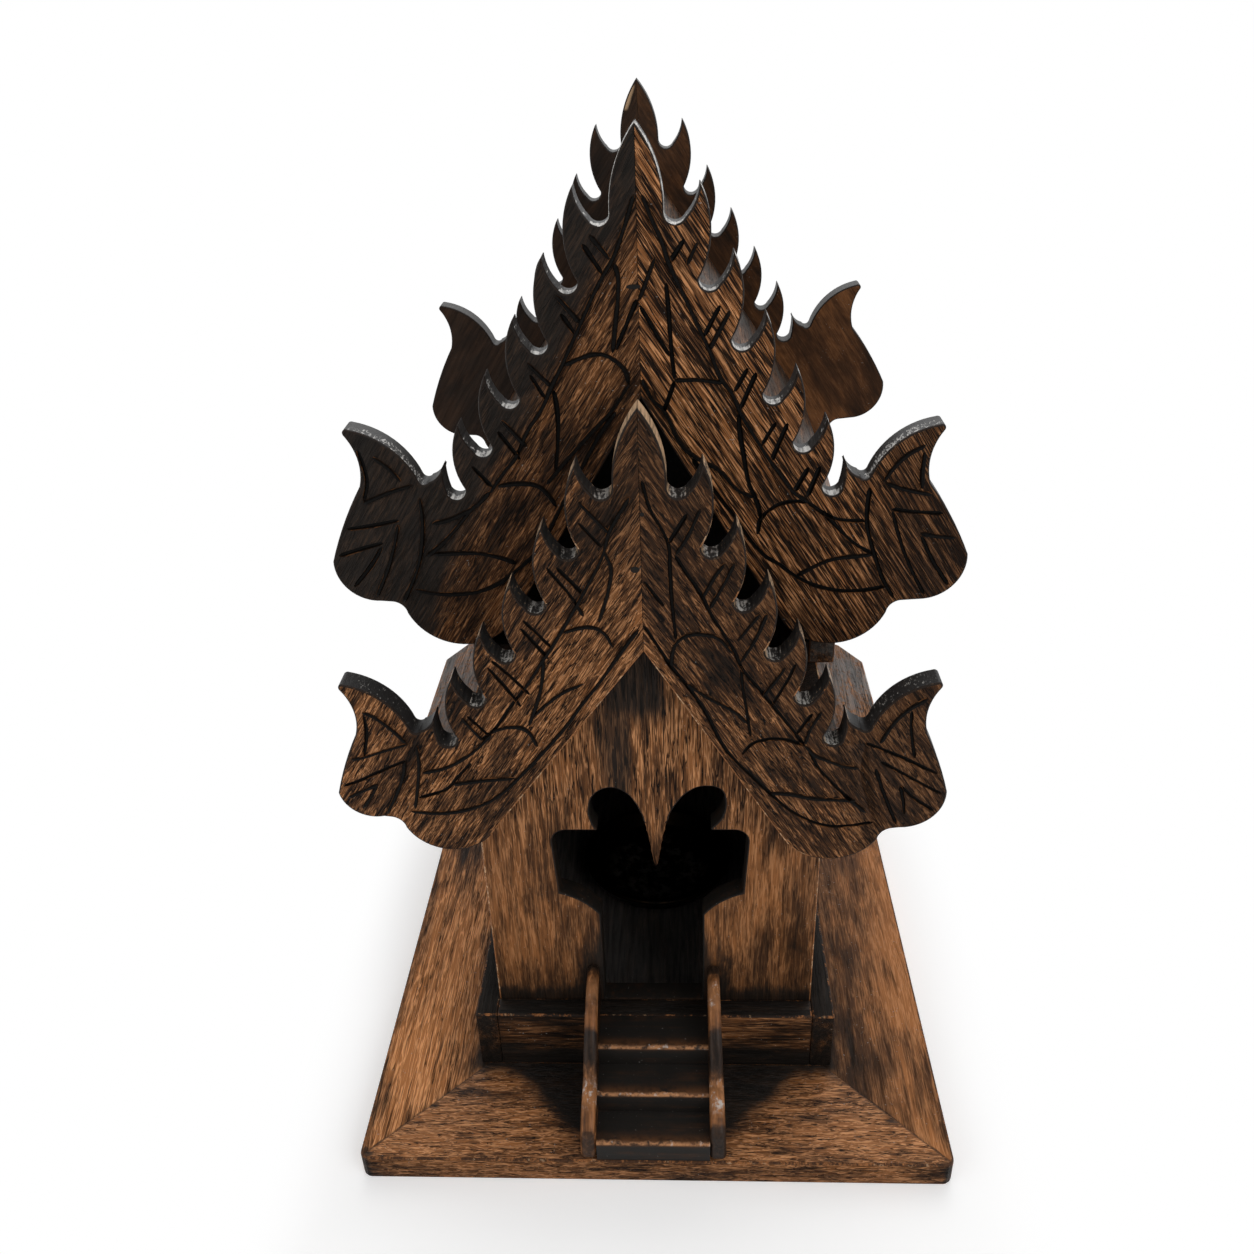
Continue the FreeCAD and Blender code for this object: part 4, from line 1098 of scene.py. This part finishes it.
class RoofBoards(bpy.types.Operator):
    """Roof boards, pale eaves of dust and painted sheen, cheeks and the parts that hold the lid together"""

    bl_idname = "burner.roof_boards"
    bl_label = "Roof boards"

    def execute(self, context):
        small = sizes()
        edge = worn_edge("roof_worn_edge", "wood", "worn", share=0.4)
        pale = worn_edge("eave_worn_edge", "worn", "dust", share=0.6)
        soot = sooty_wood("roof_inner_soot", Y_GRAIN)
        roof, cheek, eave, panel, floor = (
            stained_wood(name, grain, **look) for name, grain, look in (
                # Roof boards: a little grey of dust and painted sheen
                ("roof_wood", Y_GRAIN, dict(
                    tone=0.6, worn=0.42, comb=0.2, dirt_and_painted_light=self.roof_dust_and_sheen, dirt_and_painted_light_colour="dust", shift=0.63)),
                ("cheek_wood", Y_GRAIN, dict(
                    tone=0.55, worn=0.35, comb=0.4, dirt_and_painted_light=self.cheek_dust, dirt_and_painted_light_colour="dust", shift=0.67)),
                # Eaves: grey of dust and painted sheen
                ("eave_wood", Y_GRAIN, dict(
                    tone=0.78, worn=0.6, comb=0.3, dirt_and_painted_light=self.eave_dust_and_sheen, dirt_and_painted_light_colour="slate", shift=0.71)),
                ("back_panel_wood", X_GRAIN, dict(tone=0.8, worn=0.5, comb=0.5, shift=0.77)),
                ("floor_wood", Y_GRAIN, dict(
                    tone=0.35, worn=0.5, comb=0.2, dirt_and_painted_light=self.floor_ash, dirt_and_painted_light_colour="slate", shift=0.81,
                    lively=0.5)),
            ))
        kinds = (
            ("porch_roof", roof, edge, "house"), ("porch_eave", eave, pale, "house"),
            ("hall_roof", roof, edge, "lid"), ("hall_cheek", cheek, edge, "lid"))
        boards = [(f"{kind[0]}_{side}", *kind[1:]) for side in ("left", "right") for kind in kinds]
        boards.append(("hall_back_panel", panel, edge, "lid"))
        for node, wood, rim, body in boards:
            left = node.endswith("left")
            piece = board_copy(node, (wood, rim, soot))
            if "eave" in node:
                self.reach_back(piece, small.eave_left if left else small.eave_right)
            elif "roof" in node:
                paint(piece, OTHER, lambda middle, normal, slot: normal.z < -0.3)
            elif "cheek" in node:
                if left:
                    self.narrow(piece, small.cheek_trim)
                paint(piece, OTHER, lambda middle, normal, slot: normal.x * (1 if left else -1) > 0.5)
            else:
                paint(piece, OTHER, lambda middle, normal, slot: normal.y < -0.5)
            ease(piece, small.edge * 0.8)
            settle(piece, node, body)
        for node, wood in (
            ("porch_ridge_strip", soot), ("hall_ridge_strip", soot), ("lid_batten_left", soot),
            ("lid_batten_right", soot), ("floor_panel", floor),
        ):
            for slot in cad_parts[node].material_slots:
                slot.material = wood
        return {"FINISHED"}

    @staticmethod
    def reach_back(piece, length):
        """Let the rear end of an eave run further back under the upper gable."""
        for point in piece.data.vertices:
            if point.co.y > -30 * MM:
                point.co.y += length

    @staticmethod
    def narrow(piece, width):
        """Take the outer side of the left cheek in, and its top edge up the slope of the roof."""
        low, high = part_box("hall_cheek_left")
        outer = [point for point in piece.data.vertices if point.co.x < low[0] + 0.5 * MM]
        top = max(point.co.z for point in outer)
        for point in outer:
            point.co.x += width
            if point.co.z > top - 0.5 * MM:
                point.co.z += (high[2] - top) * width / (high[0] - low[0])

    @staticmethod
    def eave_dust_and_sheen(place, patch):
        """Grey dust and painted sheen on top of the eaves, rubbed through in patches."""
        # Painted sheen with dust greys the eaves' tops
        return (patch * 0.6 + place.noise(900, 3, 0.65) * 0.4).ramp(0.57, 0.45) * 0.72

    @staticmethod
    def floor_ash(place, patch):
        """Old ash that greys the floor inside."""
        return patch.ramp(0.1, 0.4) * 0.55

    @staticmethod
    def roof_dust_and_sheen(place, patch):
        """A thin grey film on the roof boards: dust and painted sheen."""
        # Painted sheen, with dust, greys the roof boards a little
        return patch.ramp(0.7, 0.3) * 0.1

    @staticmethod
    def cheek_dust(place, patch):
        """Grey dust on the front ends of the cheeks."""
        forward = -1 * surface_normal(place)[1]
        return forward.ramp(0.5, 0.8) * patch.ramp(0.66, 0.4) * 0.15


# ---------------------------------------------------------------- nails and dish


class Nails(bpy.types.Operator):
    """Sunk nail heads at the seams of the two front gables"""

    bl_idname = "burner.nails"
    bl_label = "Nails"

    def execute(self, context):
        made, place = start_material("nail_iron")
        rust = place.noise(1800, 3, 0.6)
        tone = rust.ramp(0.45, 0.7).mix(colour("iron"), colour("stain"))
        end_material(place, tone, 0.4 + rust * 0.3, 0.2, rust, 0.1 * MM, 0.4, Metallic=0.2)
        for name, (node, x, z, half_wide, half_tall) in NAILS.items():
            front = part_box(node)[0][1]
            bpy.ops.object.select_all(action="DESELECT")
            bpy.ops.mesh.primitive_cylinder_add(
                vertices=20, radius=MM, depth=MM, location=(x * MM, front + 0.38 * MM, z * MM),
                rotation=(math.radians(90), 0, 0), scale=(half_wide, half_tall, 1))
            nail = bpy.context.object
            nail.name = name + "_nail"
            bpy.ops.object.transform_apply(location=True, rotation=True, scale=True)
            for face in nail.data.polygons:
                face.select = face.normal.y < -0.9
            bpy.ops.object.mode_set(mode="EDIT")
            bpy.ops.mesh.inset(thickness=half_tall * 0.2 * MM, depth=0.06 * MM)
            bpy.ops.mesh.inset(thickness=half_tall * 0.25 * MM, depth=-0.1 * MM)
            bpy.ops.object.mode_set(mode="OBJECT")
            nail.data.materials.append(made)
            bpy.ops.object.shade_smooth_by_angle(angle=math.radians(40))
            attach(nail, "house" if node.startswith("lower") else "lid")
        return {"FINISHED"}


class IncenseDish(bpy.types.Operator):
    """Turned brass dish, tarnished and dusted with ash"""

    bl_idname = "burner.incense_dish"
    bl_label = "Incense dish"

    def execute(self, context):
        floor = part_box("incense_dish")[0][2]
        made, place = start_material("dish_brass")
        x, y, z = place.parts()
        squared = x * x + y * y
        turned = z.node("ShaderNodeCombineXYZ", (), {0: squared.math("SQRT", squared), 2: z})
        rings = turned.noise(2600, 2, 0.5)
        tarnish = place.noise(140, 4, 0.65).ramp(0.42, 0.68)
        ash = place.noise(330, 5, 0.7).ramp(0.48, 0.6) * z.ramp(floor + 4.5 * MM, floor + 2 * MM)
        # Painted shade: the dark brass keeps the dish black inside the doorway, besides tarnish and ash
        tone = (ash * 0.15).mix(tarnish.mix(colour("brass"), colour("umber")), colour("dust"))
        rough = 0.34 + tarnish * 0.25 + ash * 0.35
        end_material(place, tone, rough, 0.5, rings * 0.4 + ash * 0.8, 0.2 * MM, 0.4, Metallic=1 - ash)
        piece = board_copy("incense_dish", (made,))
        ease(piece, 0.4 * MM, slot=0, segments=3, angle=24)
        settle(piece, "incense_dish", "dish")
        return {"FINISHED"}


# ---------------------------------------------------------------- studio


class Studio(bpy.types.Operator):
    """Pale floor, soft lamps and the camera"""

    bl_idname = "burner.studio"
    bl_label = "Studio"

    def execute(self, context):
        scene = context.scene
        studio = scene.burner_studio
        scene.view_settings.view_transform = "Standard"
        self.add_floor(studio)
        self.add_world(scene, studio)
        aim = Vector((0, -0.02, 0.11))
        for name, place, size, power in (
            ("key_lamp", (0.62, -0.72, 0.72), 0.7, studio.key),
            ("fill_lamp", (-0.75, -0.62, 0.45), 0.8, studio.fill),
            ("top_lamp", (0.1, 0.55, 0.95), 0.9, studio.top),
        ):
            bpy.ops.object.light_add(type="AREA", location=place)
            lamp = context.object
            lamp.name = name
            lamp.data.size = size
            lamp.data.energy = power
            lamp.rotation_euler = (aim - Vector(place)).to_track_quat("-Z", "Y").to_euler()
        bpy.ops.object.camera_add(location=studio.place, rotation=studio.turn)
        camera = context.object
        camera.name = "photo_camera"
        camera.data.lens = studio.lens
        camera.data.sensor_width = 36
        camera.data.clip_start = 0.01
        scene.camera = camera
        return {"FINISHED"}

    @staticmethod
    def backdrop_rays(blank):
        """Rays from the camera, from shiny surfaces and through clear ones; only floor and world ask."""
        rays = blank.node("ShaderNodeLightPath").socket.node.outputs
        names = ("Is Camera Ray", "Is Glossy Ray", "Is Transmission Ray")
        return [Shade(blank.tree, rays[name]) for name in names]

    @staticmethod
    def add_floor(studio):
        """A wide pale floor that keeps the shadow and is white to the camera."""
        bpy.ops.object.select_all(action="DESELECT")
        bpy.ops.mesh.primitive_plane_add(size=8)
        floor = bpy.context.object
        floor.name = "studio_floor"
        made, place = start_material("studio_floor")
        seen, glossy, through = Studio.backdrop_rays(place)
        x, y, _ = place.parts()
        half_x, half_y = base_half()
        beyond = ((abs(x) - half_x) * 2.2).larger(-1 * y - half_y, (y - half_y) * 2.2)
        far = beyond.ramp(0.004, 0.055) * seen.larger(glossy, through)
        paper = place.node("ShaderNodeBsdfDiffuse", (), {"Color": (*studio.floor, 1.0)})
        near = place.node("ShaderNodeEmission", (), {"Color": (1, 1, 1, 1), "Strength": seen * 0.3})
        lit = place.node("ShaderNodeAddShader", (), {0: paper, 1: near})
        white = place.node("ShaderNodeEmission", (), {"Color": (1, 1, 1, 1), "Strength": 1.0})
        both = place.node("ShaderNodeMixShader", (), {0: far, 1: lit, 2: white})
        place.node("ShaderNodeOutputMaterial", (), {"Surface": both})
        floor.data.materials.append(made)

    @staticmethod
    def add_world(scene, studio):
        """White to the camera and in reflections of the backdrop, dimmer from the room in front."""
        world = bpy.data.worlds.new("studio_world")
        world.use_nodes = True
        world.node_tree.nodes.clear()
        scene.world = world
        blank = Shade(world.node_tree)
        _, y, z = blank.node("ShaderNodeTexCoord", (), (), "Generated").parts()
        seen, glossy, through = Studio.backdrop_rays(blank)
        behind = (y * 0.6 + z * 0.8).ramp(-0.1, 0.7)
        white = seen.larger(glossy.larger(through) * behind)
        strength = white * (1 - studio.room) + studio.room
        glow = blank.node("ShaderNodeBackground", (), {"Color": (1, 1, 1, 1), "Strength": strength})
        blank.node("ShaderNodeOutputWorld", (), {"Surface": glow})


class BurnerPanel(bpy.types.Panel):
    """Lists the steps that build the burner"""

    bl_idname = "VIEW3D_PT_burner"
    bl_label = "Incense burner"
    bl_space_type = "VIEW_3D"
    bl_region_type = "UI"
    bl_category = "Burner"

    def draw(self, context):
        for step in STEPS:
            self.layout.operator(step.bl_idname)
        for group in (context.scene.burner_sizes, context.scene.burner_colours, context.scene.burner_studio):
            for name in group.__annotations__:
                self.layout.prop(group, name)


STEPS = (BaseBoards, PlinthBoards, WallBoards, StairBoards, GableBoards, RoofBoards, Nails, IncenseDish, Studio)
GROUPS = {"burner_sizes": BurnerSizes, "burner_colours": BurnerColours, "burner_studio": StudioSettings}


def register():
    for item in (*GROUPS.values(), *STEPS, BurnerPanel):
        bpy.utils.register_class(item)
    for name, group in GROUPS.items():
        setattr(bpy.types.Scene, name, bpy.props.PointerProperty(type=group))


def unregister():
    for name in GROUPS:
        delattr(bpy.types.Scene, name)
    for item in (BurnerPanel, *reversed(STEPS), *GROUPS.values()):
        bpy.utils.unregister_class(item)


def main():
    register()
    bpy.ops.burner.base_boards()
    bpy.ops.burner.plinth_boards()
    bpy.ops.burner.wall_boards()
    bpy.ops.burner.stair()
    bpy.ops.burner.gables()
    bpy.ops.burner.roof_boards()
    bpy.ops.burner.nails()
    bpy.ops.burner.incense_dish()
    bpy.ops.burner.studio()


if __name__ == "__main__":
    main()
